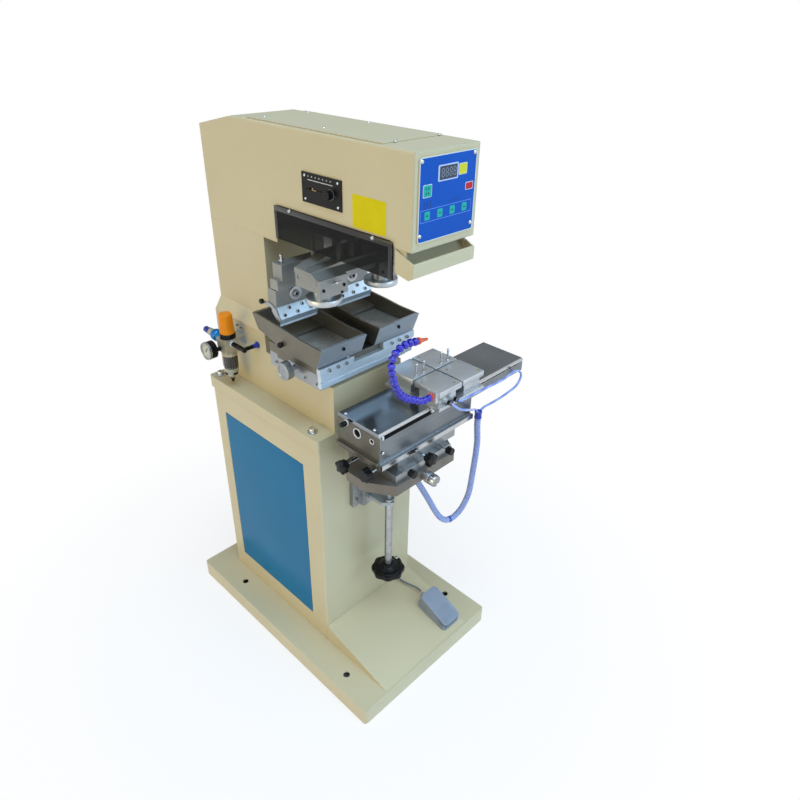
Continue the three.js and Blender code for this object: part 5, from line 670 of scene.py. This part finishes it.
turned("tray_ball_knob", [
    (0, -10), (3, -10), (3, -6.1), (4.8, -4.8), (6.3, -2.6), (6.8, 0), (6.3, 2.6), (4.8, 4.8), (2.6, 6.3),
    (0, 6.8)], stand_at((-155, -11, 916), to_left), 24, black_rubber, "stage", "black_plastic")
tray_clamp_screws = bmesh.new()
for left, width, z in ((-145, 99, 889.2), (46, 103, 890.8)):
    for share in (0.25, 0.5, 0.75):
        cap_screw(tray_clamp_screws, (left + width * share, -136, z), to_front, 4, 5)
for x in (-60, 134):
    cap_screw(tray_clamp_screws, (x, -130.4, 896.2), up, 3.6, 4)
piece("tray_clamp_screws", tray_clamp_screws, steel_socket, "stage", "bright_steel")


def knurled(profile, stand, ridges, depth, low, high):
    bm = turn_on(bmesh.new(), profile, Matrix.Identity(4), ridges * 2)
    for vert in bm.verts:
        if low * mm < vert.co.z < high * mm:
            angle = math.atan2(vert.co.y, vert.co.x)
            if round(angle / math.pi * ridges) % 2:
                vert.co.xy *= 1 - depth * mm / max(vert.co.xy.length, 1e-6)
    bmesh.ops.transform(bm, verts=bm.verts, matrix=stand)
    return bm


stage_knob_stand = stand_at((-151, -34, 863), to_left)
stage_grip = knurled([
    (0, 0), (19.5, 0), (21.5, 1.6), (21.5, 2.2), (21.5, 17.8), (21.5, 18.4), (19.8, 20.2), (16, 20.4),
    (15.2, 19.6), (14.8, 18.2), (3.4, 18), (3, 19), (0, 19)], stage_knob_stand, 44, 0.55, 2, 18)
turn_on(stage_grip, [(0, -16), (6.2, -16), (6.2, 0.4), (0, 0.4)], stage_knob_stand, 24)
piece("stage_grip", stage_grip, ground_steel, "stage_knob", "anodised", "tray_knob", 25)
screws("stage_base_screws", cap_screw, [(-135, y, 850) for y in (-112, -70, 36)], to_left, 3.4, 2.4,
       steel_socket)

# Knee and lift screw
# A light grey bracket on a ground way carries the table; a bright screw and a black scalloped
# handwheel with a silver crank stud raise and lower it.
light_grey = finish(
    "light_grey_enamel", (176, 184, 186), (166, 174, 177), (206, 212, 213), (0.34, 0.45), (10, 600, 0.06),
    (0.8, 0.5), 0.2)
dress(ground_steel, "knee_way")
dress(light_grey, "knee_bracket", "screw_bracket")
turned_steel = finish(
    "turned_steel", (206, 209, 211), (182, 186, 189), (236, 238, 240), (0.2, 0.32), (60, 600, 0.004),
    (0.4, 0.6), 0.9, (0.1, 0.1, 1), speck=0.02)
# Towards the grazing sides of the turned parts the colour is darkened to a dark grey: a painted reflection,
# with shade painted along the sides of the lift screw and the micrometer sleeve.
tree = turned_steel.node_tree
grazing_painted_shade = add(tree, "LayerWeight", Blend=0.42).outputs["Facing"]
colour_in = tree.nodes["Principled BSDF"].inputs["Base Color"]
tree.links.new(mixed(tree, grazing_painted_shade, colour_in.links[0].from_socket, tint(52, 58, 62)), colour_in)
lift_axis = stand_at((0, -207, 0))
screw_form = turn_on(bmesh.new(), [
    (0, 259), (6, 259), (6, 285), (9, 285), (10, 286), (10, 490.5), (9.2, 491.7), (6.1, 491.7), (6.1, 502.3),
    (12, 502.3), (13, 503), (13, 507.6), (12, 508.3), (6.1, 508.3), (6.1, 510), (0, 510)], lift_axis, 40)
thread = [(0, 509.6), (6.1, 509.6)]
thread_turns, thread_pitch = 76, 1.5
for turn in range(thread_turns):
    foot = 510 + turn * thread_pitch
    thread += [(5.2, foot + 0.4), (5.2, foot + 0.6), (6.1, foot + 1.1), (6.1, foot + 1.5)]
turn_on(screw_form, [*thread, (5.4, 624), (0, 624)], lift_axis, 20)
piece("lift_screw_form", screw_form, turned_steel, "lift_screw", "bright_steel", "lead_screw", 25)


def lobed_grip(stand, radius, depth, lobes, low, high, rounding, steps=10):
    bm = bmesh.new()
    bmesh.ops.create_circle(bm, cap_ends=True, segments=lobes * steps, radius=radius * mm)
    for vert in bm.verts:
        angle = math.atan2(vert.co.y, vert.co.x)
        vert.co *= 1 - depth / radius * (1 - math.cos(lobes * angle)) / 2
        vert.co.z = low * mm
    grown = bmesh.ops.extrude_face_region(bm, geom=bm.faces[:])["geom"]
    raised = [item for item in grown if isinstance(item, bmesh.types.BMVert)]
    bmesh.ops.translate(bm, vec=(0, 0, (high - low) * mm), verts=raised)
    rims = [edge for edge in bm.edges if abs(edge.verts[0].co.z - edge.verts[1].co.z) < 1e-6]
    bmesh.ops.bevel(bm, geom=rims, offset=rounding * mm, affect="EDGES", segments=3, profile=0.5, material=-1)
    bmesh.ops.transform(bm, verts=bm.verts, matrix=stand)
    return bm


wheel = lobed_grip(lift_axis, 45, 3.5, 8, 256.7, 271.6, 3.4)
turn_on(wheel, [(0, 271), (38, 271), (36, 273), (30, 273.6), (27, 275), (18, 279), (16, 280.4), (16, 283.6),
                (15, 284.6), (0, 284.6)], lift_axis, 48)
piece("wheel_form", wheel, black_rubber, "lift_screw", "black_plastic", "handwheel", 28)
wheel_studs = bmesh.new()
turn_on(wheel_studs, [(0, 0), (9, 0), (9.4, 0.6), (9.4, 5.4), (8.6, 6), (0, 6)],
        stand_at((0, -207, 284.9)), 6)
turn_on(wheel_studs, [(0, -1), (3, -1), (3, 6), (5, 6.6), (5.4, 9), (4.4, 11), (0, 11.6)],
        stand_at((31, -207, 273)), 20)
piece("wheel_studs", wheel_studs, bright_steel, "lift_screw", "bright_steel")
screws("way_screws", cap_screw, [(x, -146.2, z) for x in (-56, 56) for z in (500, 650)], to_front, 4.4, 3,
       steel_socket)

# Cross slides
# A dark cast table base, two ground plates that slide across each other, star knobs and small ball
# knobs of black moulding, and a knurled micrometer sleeve.
dark_iron = finish(
    "dark_iron", (134, 127, 118), (112, 107, 100), (176, 172, 166), (0.42, 0.56), (10, 520, 0.08),
    (0.9, 0.5), 0.6)
dress(dark_iron, "table_base")
dress(ground_steel, "table_y_plate", "table_x_plate")
dress_where("table_x_plate", black_rubber, lambda x, y, z: y < -332 or x < -138.5)
for side, place, direction, reach in (
        ("front", (-4, -302, 697.4), to_front, 30), ("left", (-70, -222, 697.4), to_left, 86)):
    body = "star_" + side
    stand = stand_at(place, direction, 0.3)
    grip = lobed_grip(stand, 17.3, 5.2, 5, reach, reach + 16.2, 2.6, 12)
    turn_on(grip, [(0, reach - 6.2), (8.4, reach - 6.2), (8.4, reach + 1), (0, reach + 1)], stand, 24)
    turn_on(grip, [(0, reach + 16), (4, reach + 16), (4.2, reach + 16.8), (0, reach + 17)], stand, 20)
    piece(body + "_grip", grip, black_rubber, body, "black_plastic", "star_knob_" + side, 28)
    turned(body + "_stem", [(0, -18), (4, -18), (4, reach + 1), (0, reach + 1)],
           stand_at(place, direction), 20, bright_steel, body, "bright_steel")
micrometer = knurled([
    (0, -17), (4, -17), (4, 0.3), (11, 0.3), (11.2, 1), (11.2, 7), (13.4, 8.6), (14, 9.4), (14, 19),
    (13.6, 19.4), (13.6, 20), (14, 20.4), (14, 34.6), (13.2, 36.6), (11, 37.3), (10.6, 36.4), (0, 36.2)],
    stand_at((-7, -326, 649), to_front), 36, 0.45, 20.2, 34)
piece("micrometer_form", micrometer, turned_steel, "micrometer", "anodised", "micrometer_knob", 25)

# Shuttle
# A long box of dark polished steel plate with a screwed lid and bright front edges, their brightness a
# painted highlight; a warm grey end plate with two sight holes and a fitting, and along its front a slot
# drawn as a strip of painted shade.
polished_plate = finish(
    "dark_polished_plate", (146, 152, 158), (120, 126, 132), (222, 228, 233), (0.12, 0.24), (5, 160, 0.01),
    (1.1, 0.9), 0.95, (0.04, 1, 1))
dress(polished_plate, "shuttle_cover")
# Painted highlight: the lid's front faces get bright steel so that its front edge shows as a bright line.
dress_where("shuttle_cover", bright_steel, lambda x, y, z: y < -300)
brushed_plate = finish(
    "brushed_dark_plate", (132, 138, 143), (112, 118, 123), (226, 232, 236), (0.24, 0.36), (6, 200, 0.01),
    (1.2, 0.9), 0.8, (0.04, 1, 1))
dress(brushed_plate, "shuttle_body")
# Painted highlight: the front faces of the body's lower ledge get bright steel so that the ledge shows as a
# bright line.
dress_where("shuttle_body", bright_steel, lambda x, y, z: y < -303.6)
end_plate = finish(
    "warm_anodised", (106, 103, 93), (94, 91, 82), (188, 186, 178), (0.34, 0.44), (20, 900, 0.02),
    (0.7, 0.5), 0.7, (1, 0.1, 1))
dress(end_plate, "shuttle_end_plate")
dress_where("shuttle_end_plate", black_rubber, lambda x, y, z: x < -130.6 and y > -212 and z > 780)
# The slot along the front is a thin strip in the shadowed-recess tone: painted shade of the slot's inside.
slabs("slot_strip", [((-116, -304.2, 785.4), (50, -302, 794.8))], dark_hole, "cross_slide_x",
      "black_plastic", 0.3)
large_sight, small_sight, fitting_stand = (
    stand_at(place, to_left) for place in ((-130, -236, 776.7), (-130, -281, 776.7), (-130, -201, 787.7)))
shuttle_screws = bmesh.new()
turn_on(shuttle_screws, [
    (9.2, -3.2), (9.2, 1.2), (10, 2), (12.4, 2), (13, 1.4), (13, -0.2), (9.6, -0.2), (9.6, -3.2),
    (9.2, -3.2)], large_sight, 40)
turn_on(shuttle_screws, [
    (4.6, -2), (4.6, 0.6), (5.2, 1), (6.8, 1), (7.2, 0.6), (7.2, -0.2), (4.9, -0.2), (4.9, -2), (4.6, -2)],
    small_sight, 28)
for spot, direction in (((-122, -190, 802.5), up), ((-122, -281, 802.5), up),
                        ((-118, -303, 752), to_front)):
    round_screw(shuttle_screws, spot, direction, 4, 2.6)
piece("shuttle_screws", shuttle_screws, bright_steel, "cross_slide_x", "bright_steel")
white_bits = bmesh.new()
slab_on(white_bits, (-121.6, -304.6, 786.2), (-116.4, -302, 794.4))
turn_on(white_bits, [(0, 0), (7.4, 0), (7.6, 0.5), (7.6, 2.2), (7, 2.8), (0, 2.8)],
        stand_at((-129.9, -201, 787.7), to_left), 28)
piece("slot_end", white_bits, printed("white_moulding", (222, 222, 216)), "cross_slide_x", "anodised",
      sharp=30)
turned("green_dot", [(0, -0.3), (3, -0.3), (3, 0.3), (2.6, 0.6), (0, 0.7)],
       stand_at((-130, -184, 763), to_left), 20, printed("green_lamp", (44, 150, 96)), "cross_slide_x",
       "anodised")
sight_holes = bmesh.new()
turn_on(sight_holes, [(0, -2.4), (9.1, -2.4), (9.1, -2.9), (0, -2.9)], large_sight, 32)
turn_on(sight_holes, [(0, -1.4), (2.2, -1.2), (2.4, -1.6), (5, -2.2), (0, -2.4)], large_sight, 24)
turn_on(sight_holes, [(0, -2.4), (4.6, -2.4), (4.6, -2.9), (0, -2.9)], small_sight, 20)
piece("sight_holes", sight_holes, dark_hole, "cross_slide_x", "dark_extrusion")
turned("end_fitting", [
    (0, 0), (5.6, 0), (5.9, 0.6), (5.9, 9), (5.2, 10), (4.6, 10), (4.6, 16), (4, 17.2), (2.2, 17.2),
    (2.2, 14), (0, 14)], fitting_stand, 24, black_rubber, "cross_slide_x", "black_plastic")

# Fixture carriage
# Four ground nest plates on a skirted carriage, with locating pins in their rear corners, small
# brass screws, and the black push-in fittings of the air tubes at the front.
nest_steel = finish(
    "ground_nest_plate", (206, 210, 212), (190, 194, 197), (238, 241, 243), (0.28, 0.38), (14, 620, 0.02),
    (0.9, 0.85), 0.75, (0.08, 1, 1))
dress(nest_steel, "shuttle_carriage")
slabs("nest_tops", [
    ((x0, y0, 836.6), (x1, y1, 850.5)) for x0, x1 in ((29.6, 104.2), (109.4, 184))
    for y0, y1 in ((-328.4, -251), (-246, -168.6))], nest_steel, "shuttle", "ground_steel", 0.8)
nest_pins, nest_screws = bmesh.new(), bmesh.new()
for x in (64, 149.5):
    for pin_x in (x - 12, x + 12):
        turn_on(nest_pins, [(0, 0.1), (4.2, 0.1), (4.2, 2.6), (2.6, 3.4), (2.6, 28.4), (2, 29), (0, 29.2)],
                stand_at((pin_x, -236, 850)), 20)
        round_screw(nest_pins, (pin_x, -236, 878.2), up, 3.6, 3)
    for y in (-205, -292):
        for dx in (-26, 26):
            turn_on(nest_screws, [(0, 0.15), (1.8, 0.15), (2, 0.45), (3, 0.45), (3.3, 0.05), (0, 0.05)],
                    stand_at((x + dx, y - dx, 850.4)), 20)
piece("nest_pins", nest_pins, bright_steel, "shuttle", "bright_steel")
piece("nest_screws", nest_screws, brass, "shuttle", "ground_steel")
tube_fittings = bmesh.new()
for x in (58, 80):
    turn_on(tube_fittings, [(0, -1), (5.4, -1), (5.6, 0), (5.6, 6), (4.8, 7), (4.8, 9), (4.2, 9.6), (0, 9.6)],
            stand_at((x, -330.4, 817), to_front), 24)
piece("tube_fittings", tube_fittings, black_rubber, "shuttle", "black_plastic")

# Blow hose and nozzle
# A string of royal-blue ball sockets that snap into each other and hold the bend they are given,
# on an orange root at the fixture, with an orange cone nozzle that turns in the last socket.
ball_blue = finish(
    "royal_blue_acetal", (34, 30, 190), (28, 26, 170), (96, 96, 232), (0.16, 0.26), (60, 1400, 0.01),
    (0.8, 0.35), coat=0.4)
nozzle_orange = finish(
    "orange_acetal", (240, 88, 34), (232, 80, 30), (250, 140, 90), (0.22, 0.32), (60, 1400, 0.01),
    (0.6, 0.4), coat=0.3)
blow_route = smooth_route([(x, -310, z) for x, z in (
    (21.7, 837), (4, 837), (-12, 840), (-24, 847), (-43, 857), (-62, 869), (-79, 886), (-90, 904), (-97, 922),
    (-102, 941), (-104, 958), (-101, 973), (-92, 984), (-78, 991), (-62, 993), (-49, 992), (-31, 989.2))], 12)
blow_stands = stands_along(blow_route)
ball_count = 20
ball_pitch = length_of(blow_route) / ball_count
balls = bmesh.new()
walked, ball = 0.0, 0
for before, after in zip(blow_stands, blow_stands[1:]):
    walked += (after.translation - before.translation).length
    if walked >= (ball + 0.5) * ball_pitch and ball < ball_count:
        turn_on(balls, [
            (0, -6.6), (5.4, -6.4), (6, -5.4), (6.6, -4.6), (8.1, -3), (8.8, -0.6), (8.4, 1.8), (7, 3.8),
            (5.4, 5), (5, 6.6), (0, 7)], after, 20)
        ball += 1
piece("ball_hose", balls, ball_blue, "shuttle", "blue_beads", "blow_hose", 50)
turned("ball_hose_root", [(0, -4), (7.2, -4), (7.6, -3.4), (9.4, 0), (9.4, 5), (8, 6.4), (0, 6.6)],
       stand_at((24, -310, 837), to_left), 24, nozzle_orange, "shuttle", "nozzle_plastic")
nozzle_heading = (blow_route[-1] - blow_route[-4]).normalized()
turned("nozzle_form", [
    (0, 0.3), (6.8, 0.3), (7.5, 1.2), (7.6, 6), (6, 8), (5.2, 9.4), (3.6, 22), (3.1, 30.2), (2.4, 30.8),
    (1.7, 30.6), (1.5, 22), (0, 22)], stand_at(blow_route[-1] / mm, nozzle_heading), 28, nozzle_orange,
    "nozzle", "nozzle_plastic", "blow_nozzle", 40)

# Foot switch
# A die-cast foot switch in blue-grey hammer paint: a sole with sloping sides and a treadle with
# lengthwise ribs under the toes, hinged on a cross pin.
foot_paint = finish(
    "blue_grey_paint", (144, 152, 166), (134, 142, 156), (180, 192, 208), (0.4, 0.52), (26, 520, 0.1),
    (0.8, 0.5), 0.1)
dress(foot_paint, "pedal_base", "pedal_treadle")

# Air regulator
# A die-cast filter regulator on a wall bracket: champagne body, black collar, orange pressure cap,
# smoked bowl, a 40 mm gauge facing left, a blue inlet coupling and a black elbow into the column.
champagne = finish(
    "champagne_casting", (190, 182, 158), (176, 168, 144), (214, 208, 190), (0.36, 0.48), (30, 700, 0.06),
    (0.8, 0.5), 0.45)
dress(champagne, "regulator_body")
dress_where("regulator_body", black_rubber, lambda x, y, z: y < 196.8 and z > 832)
dress_where("regulator_body", light_grey, lambda x, y, z: x > -114)
cap_orange = finish(
    "orange_cap", (244, 144, 6), (238, 136, 4), (250, 176, 60), (0.3, 0.4), (40, 1200, 0.02), (0.8, 0.3),
    gloss=0.2)
cap_form = knurled([
    (0, 0), (17.6, 0), (18.2, 0.8), (18.2, 5), (17.6, 6), (17.5, 6.6), (16.8, 44), (16.6, 45), (16.4, 48.4),
    (14.8, 50.6), (0, 51.2)], stand_at((-150, 217, 868.3)), 30, 0.5, 6.2, 44.5)
piece("cap_form", cap_form, cap_orange, "pressure_cap", "orange_plastic", "regulator_cap", 25)
inlet_blue = finish(
    "blue_anodised", (30, 128, 196), (22, 104, 172), (120, 190, 232), (0.18, 0.3), (40, 1200, 0.01),
    (0.8, 0.6), 0.7)
blue_end = printed("blue_inlet_end", (36, 52, 140))
inlet_stand = stand_at((-150, 237, 844), (0, 1, 0))
bowl_stand = stand_at((-150, 217, 0))
for name, profile, stand, steps, material, slot in (
        ("regulator_collar", [(0, -0.4), (19.4, -0.4), (19.9, 0.4), (19.9, 10.8), (18.8, 12.1), (0, 12.2)],
         stand_at((-150, 217, 856)), 40, black_rubber, "black_plastic"),
        ("inlet_coupling", [
            (0, 0.2), (11.4, 0.2), (11.8, 1), (11.8, 21), (13.4, 22), (15.2, 24.6), (15.6, 27), (15.6, 36),
            (14.8, 39), (12.6, 41), (11.4, 41.4), (11.4, 45), (9, 46), (0, 46.2)],
         inlet_stand, 40, inlet_blue, "anodised"),
        ("inlet_nut", [(0, 46), (9.6, 46), (10.2, 47), (10.2, 60), (9.2, 61), (0, 61.2)],
         inlet_stand, 28, champagne, "champagne"),
        ("inlet_end", [(0, 61), (8.6, 61), (9, 62), (9, 67), (8.2, 68), (8.2, 82), (7.4, 84.3), (0, 84.4)],
         inlet_stand, 28, blue_end, "blue_tube"),
        ("outlet_ring", [(6.2, -0.4), (8.2, -0.4), (8.6, 0.2), (8.6, 2.6), (8, 3.2), (6.2, 3.2), (6.2, -0.4)],
         stand_at((-150, 197, 844), to_front), 28, white_anodised, "anodised"),
        ("outlet_collet", [(0, 0), (5.7, 0), (5.7, 12), (8.4, 12.6), (8.4, 15.6), (0, 15.8)],
         stand_at((-124, 151, 844), (1, 0, 0)), 28, sleeve_blue, "blue_tube"),
        ("bowl_ring", [(0, 808), (18.4, 808), (19, 809), (19, 817), (18, 818.7), (0, 818.7)],
         bowl_stand, 40, champagne, "champagne")):
    turned(name, profile, stand, steps, material, "frame", slot, sharp=30)
bowl_black = finish(
    "smoked_bowl", (34, 32, 29), (44, 42, 38), (110, 106, 98), (0.14, 0.24), (30, 1200, 0.02), (0.8, 0.4),
    coat=0.3)
bowl_clear = finish(
    "clear_bowl", (176, 172, 150), (158, 154, 134), (214, 212, 198), (0.1, 0.2), (30, 1200, 0.01),
    (0.8, 0.4), coat=0.6)
turned("bowl_bottom", [
    (0, 731.7), (2.6, 731.7), (3, 732.6), (3, 738), (4, 739), (4, 744), (6.6, 747), (7, 750), (13.4, 752),
    (16.6, 758), (17.6, 764), (17.6, 776), (0, 776)], bowl_stand, 40, bowl_clear, "frame", "bowl_plastic",
    "regulator_bowl")
drain = turn_on(bmesh.new(), [
    (0, 731), (3, 731), (3.6, 732), (3.6, 737), (5, 738), (5, 742), (4.4, 743), (0, 743)], bowl_stand, 20)
slab_on(drain, (-156, 198.6, 757), (-144, 201, 762))
slab_on(drain, (-168.6, 211, 757), (-166, 223, 762))
piece("bowl_drain", drain, black_rubber, "frame", "black_plastic")
bowl_guard = knurled([
    (0, 773), (17.8, 773), (18.2, 774), (18.2, 775), (18.2, 806), (18.2, 807), (17.4, 808.4), (17.4, 810),
    (0, 810)], bowl_stand, 20, 0.9, 774, 806.5)
piece("bowl_guard", bowl_guard, bowl_black, "frame", "bowl_plastic", "regulator_bowl", 25)

gauge_dial, tree, surface = new_material("gauge_dial", Coat__Weight=0.8)
centred = add(tree, "Mapping", Vector=own_place(tree), Location=(0, -0.236, -0.828)).outputs[0]
xyz = add(tree, "SeparateXYZ", Vector=centred).outputs
span = length(tree, add(tree, "CombineXYZ", X=xyz["Y"], Y=xyz["Z"]).outputs[0])
tick = maths(tree, "COSINE", maths(tree, "MULTIPLY", maths(tree, "ARCTAN2", xyz["Y"], xyz["Z"]), 32.0))
marks_from, marks_to, lowest_mark = 0.0135, 0.0172, -0.0095
ring = maths(tree, "MULTIPLY", maths(tree, "GREATER_THAN", span, marks_from),
             maths(tree, "LESS_THAN", span, marks_to))
marks = maths(tree, "MULTIPLY", ring, maths(tree, "GREATER_THAN", tick, 0.75))
drawn = maths(tree, "MULTIPLY", marks, maths(tree, "GREATER_THAN", xyz["Z"], lowest_mark))
grain = grain_of(tree, 60, 1600)
paper = mixed(tree, grain["Patch"], tint(198, 192, 174), tint(188, 182, 164))
fill(tree, surface, {"Base Color": mixed(tree, drawn, paper, tint(40, 40, 44)),
                     "Roughness": ranged(tree, grain["Patch"], target=(0.3, 0.4))})
gauge_stand = stand_at((-182, 236, 828), to_left)
drum = turn_on(bmesh.new(), [
    (0, 0), (21, 0), (22.4, 1.2), (22.4, 16), (21.8, 16.6), (0, 16.7)], gauge_stand, 48)
turn_on(drum, [(0, -12), (5.2, -12), (5.2, 1), (0, 1)], stand_at((-182, 225.7, 828), to_left), 20)
piece("gauge_drum", drum, black_rubber, "frame", "black_plastic", "pressure_gauge", 30)
turned("gauge_rim", [
    (19.4, 20), (19.4, 23.6), (20.4, 24.4), (22.2, 24.2), (23, 23), (23, 17.6), (22.4, 16.7), (19.4, 16.7),
    (19.4, 20)], gauge_stand, 48, ground_steel, "frame", "bowl_plastic", sharp=30)
turned("gauge_face", [(0, 19.4), (19.5, 19.4), (19.5, 21.4), (0, 21.4)], gauge_stand, 48, gauge_dial, "frame",
       "black_plastic", sharp=30)
needle = bmesh.new()
slab_on(needle, (-204.3, 234.8, 826.8), (-203.5, 237.2, 829.2), soft=0.1)
slab_on(needle, (-204.2, 235.5, 828), (-203.8, 236.5, 843), soft=0.1)
bmesh.ops.rotate(needle, verts=needle.verts, cent=Vector((-204, 236, 828)) * mm,
                 matrix=Matrix.Rotation(0.7, 3, "X"))
piece("gauge_needle", needle, dark_hole, "frame", "black_plastic")
screws("bracket_bolts", cap_screw, [(-112.5, y, 876) for y in (208, 226)], to_left, 3.6, 4, steel_socket)


# Floor and light
# A plain pale floor that fades to white, a cool lamp ahead and to the right, a warm one on the
# left and a cool one above, in a white room that is dimmer to surfaces than to the camera.
def seen_by(tree):
    path = add(tree, "LightPath").outputs
    seen = maths(tree, "MAXIMUM", path["Is Camera Ray"], path["Is Glossy Ray"])
    return path["Is Glossy Ray"], maths(tree, "MAXIMUM", seen, path["Is Transmission Ray"])


floor_material, tree, surface = new_material("pale_floor", Base__Color=tint(244, 244, 244), Roughness=0.8)
place = own_place(tree)
paler = ranged(tree, length(tree, place), (0.3, 1.1), (0.72, 1.0))
xyz = add(tree, "SeparateXYZ", Vector=place).outputs
spans = [maths(tree, "DIVIDE", maths(tree, "ABSOLUTE", xyz[axis]), half)
         for axis, half in (("X", 0.236), ("Y", 0.366))]
outside = maths(tree, "GREATER_THAN", maths(tree, "MAXIMUM", *spans), 1.0)
share = maths(tree, "MULTIPLY", seen_by(tree)[1], maths(tree, "MULTIPLY", paler, outside))
white = add(tree, "Emission", Color=(1, 1, 1, 1), Strength=1.0).outputs[0]
lit = add(tree, "MixShader", _0=share, _1=tree.nodes["Principled BSDF"].outputs[0], _2=white)
fill(tree, tree.nodes["Material Output"].inputs, {"Surface": lit.outputs[0]})
floor_bm = bmesh.new()
bmesh.ops.create_grid(floor_bm, x_segments=1, y_segments=1, size=30)
floor_mesh = bpy.data.meshes.new("floor")
floor_bm.to_mesh(floor_mesh)
floor_bm.free()
floor_mesh.materials.append(floor_material)
floor = bpy.data.objects.new("floor", floor_mesh)
scene.collection.objects.link(floor)


def soft_lamp(name, place, aim_height, size, watts, colour):
    light = bpy.data.lights.new(name, "AREA")
    light.shape = "RECTANGLE"
    light.size, light.size_y = size
    light.energy = watts
    light.color = colour
    lamp = bpy.data.objects.new(name, light)
    heading = Vector((0, 0, aim_height)) - Vector(place)
    lamp.matrix_world = Matrix.Translation(place) @ heading.to_track_quat("-Z", "Y").to_matrix().to_4x4()
    scene.collection.objects.link(lamp)


soft_lamp("front_lamp", (2.4, -6.0, 3.0), 0.7, (4.4, 3.6), 160, (0.42, 0.72, 1.0))
soft_lamp("left_lamp", (-6.2, 0.4, 1.1), 0.7, (4.2, 4.2), 142, (1.0, 0.77, 0.30))
soft_lamp("top_lamp", (-0.8, -2.6, 8.2), 0.6, (6.0, 6.0), 570, (0.56, 0.78, 1.0))
world = bpy.data.worlds.new("studio")
world.use_nodes = True
tree = world.node_tree
glossy, seen = seen_by(tree)
behind = add(tree, "VectorMath", {"operation": "DOT_PRODUCT"},
             _0=add(tree, "TexCoord").outputs["Generated"], _1=(0.66, 0.62, 0.42)).outputs["Value"]
dimmer = ranged(tree, behind, (0.25, 0.9), (1.0, 0.4))
mirrored = add(tree, "Mix", _0=glossy, _2=1.0, _3=dimmer).outputs[0]
fill(tree, tree.nodes["Background"].inputs, {
    "Strength": ranged(tree, seen, target=(0.33, mirrored)),
    "Color": mixed(tree, seen, (0.92, 0.96, 1.0, 1.0), (1, 1, 1, 1))})
scene.world = world
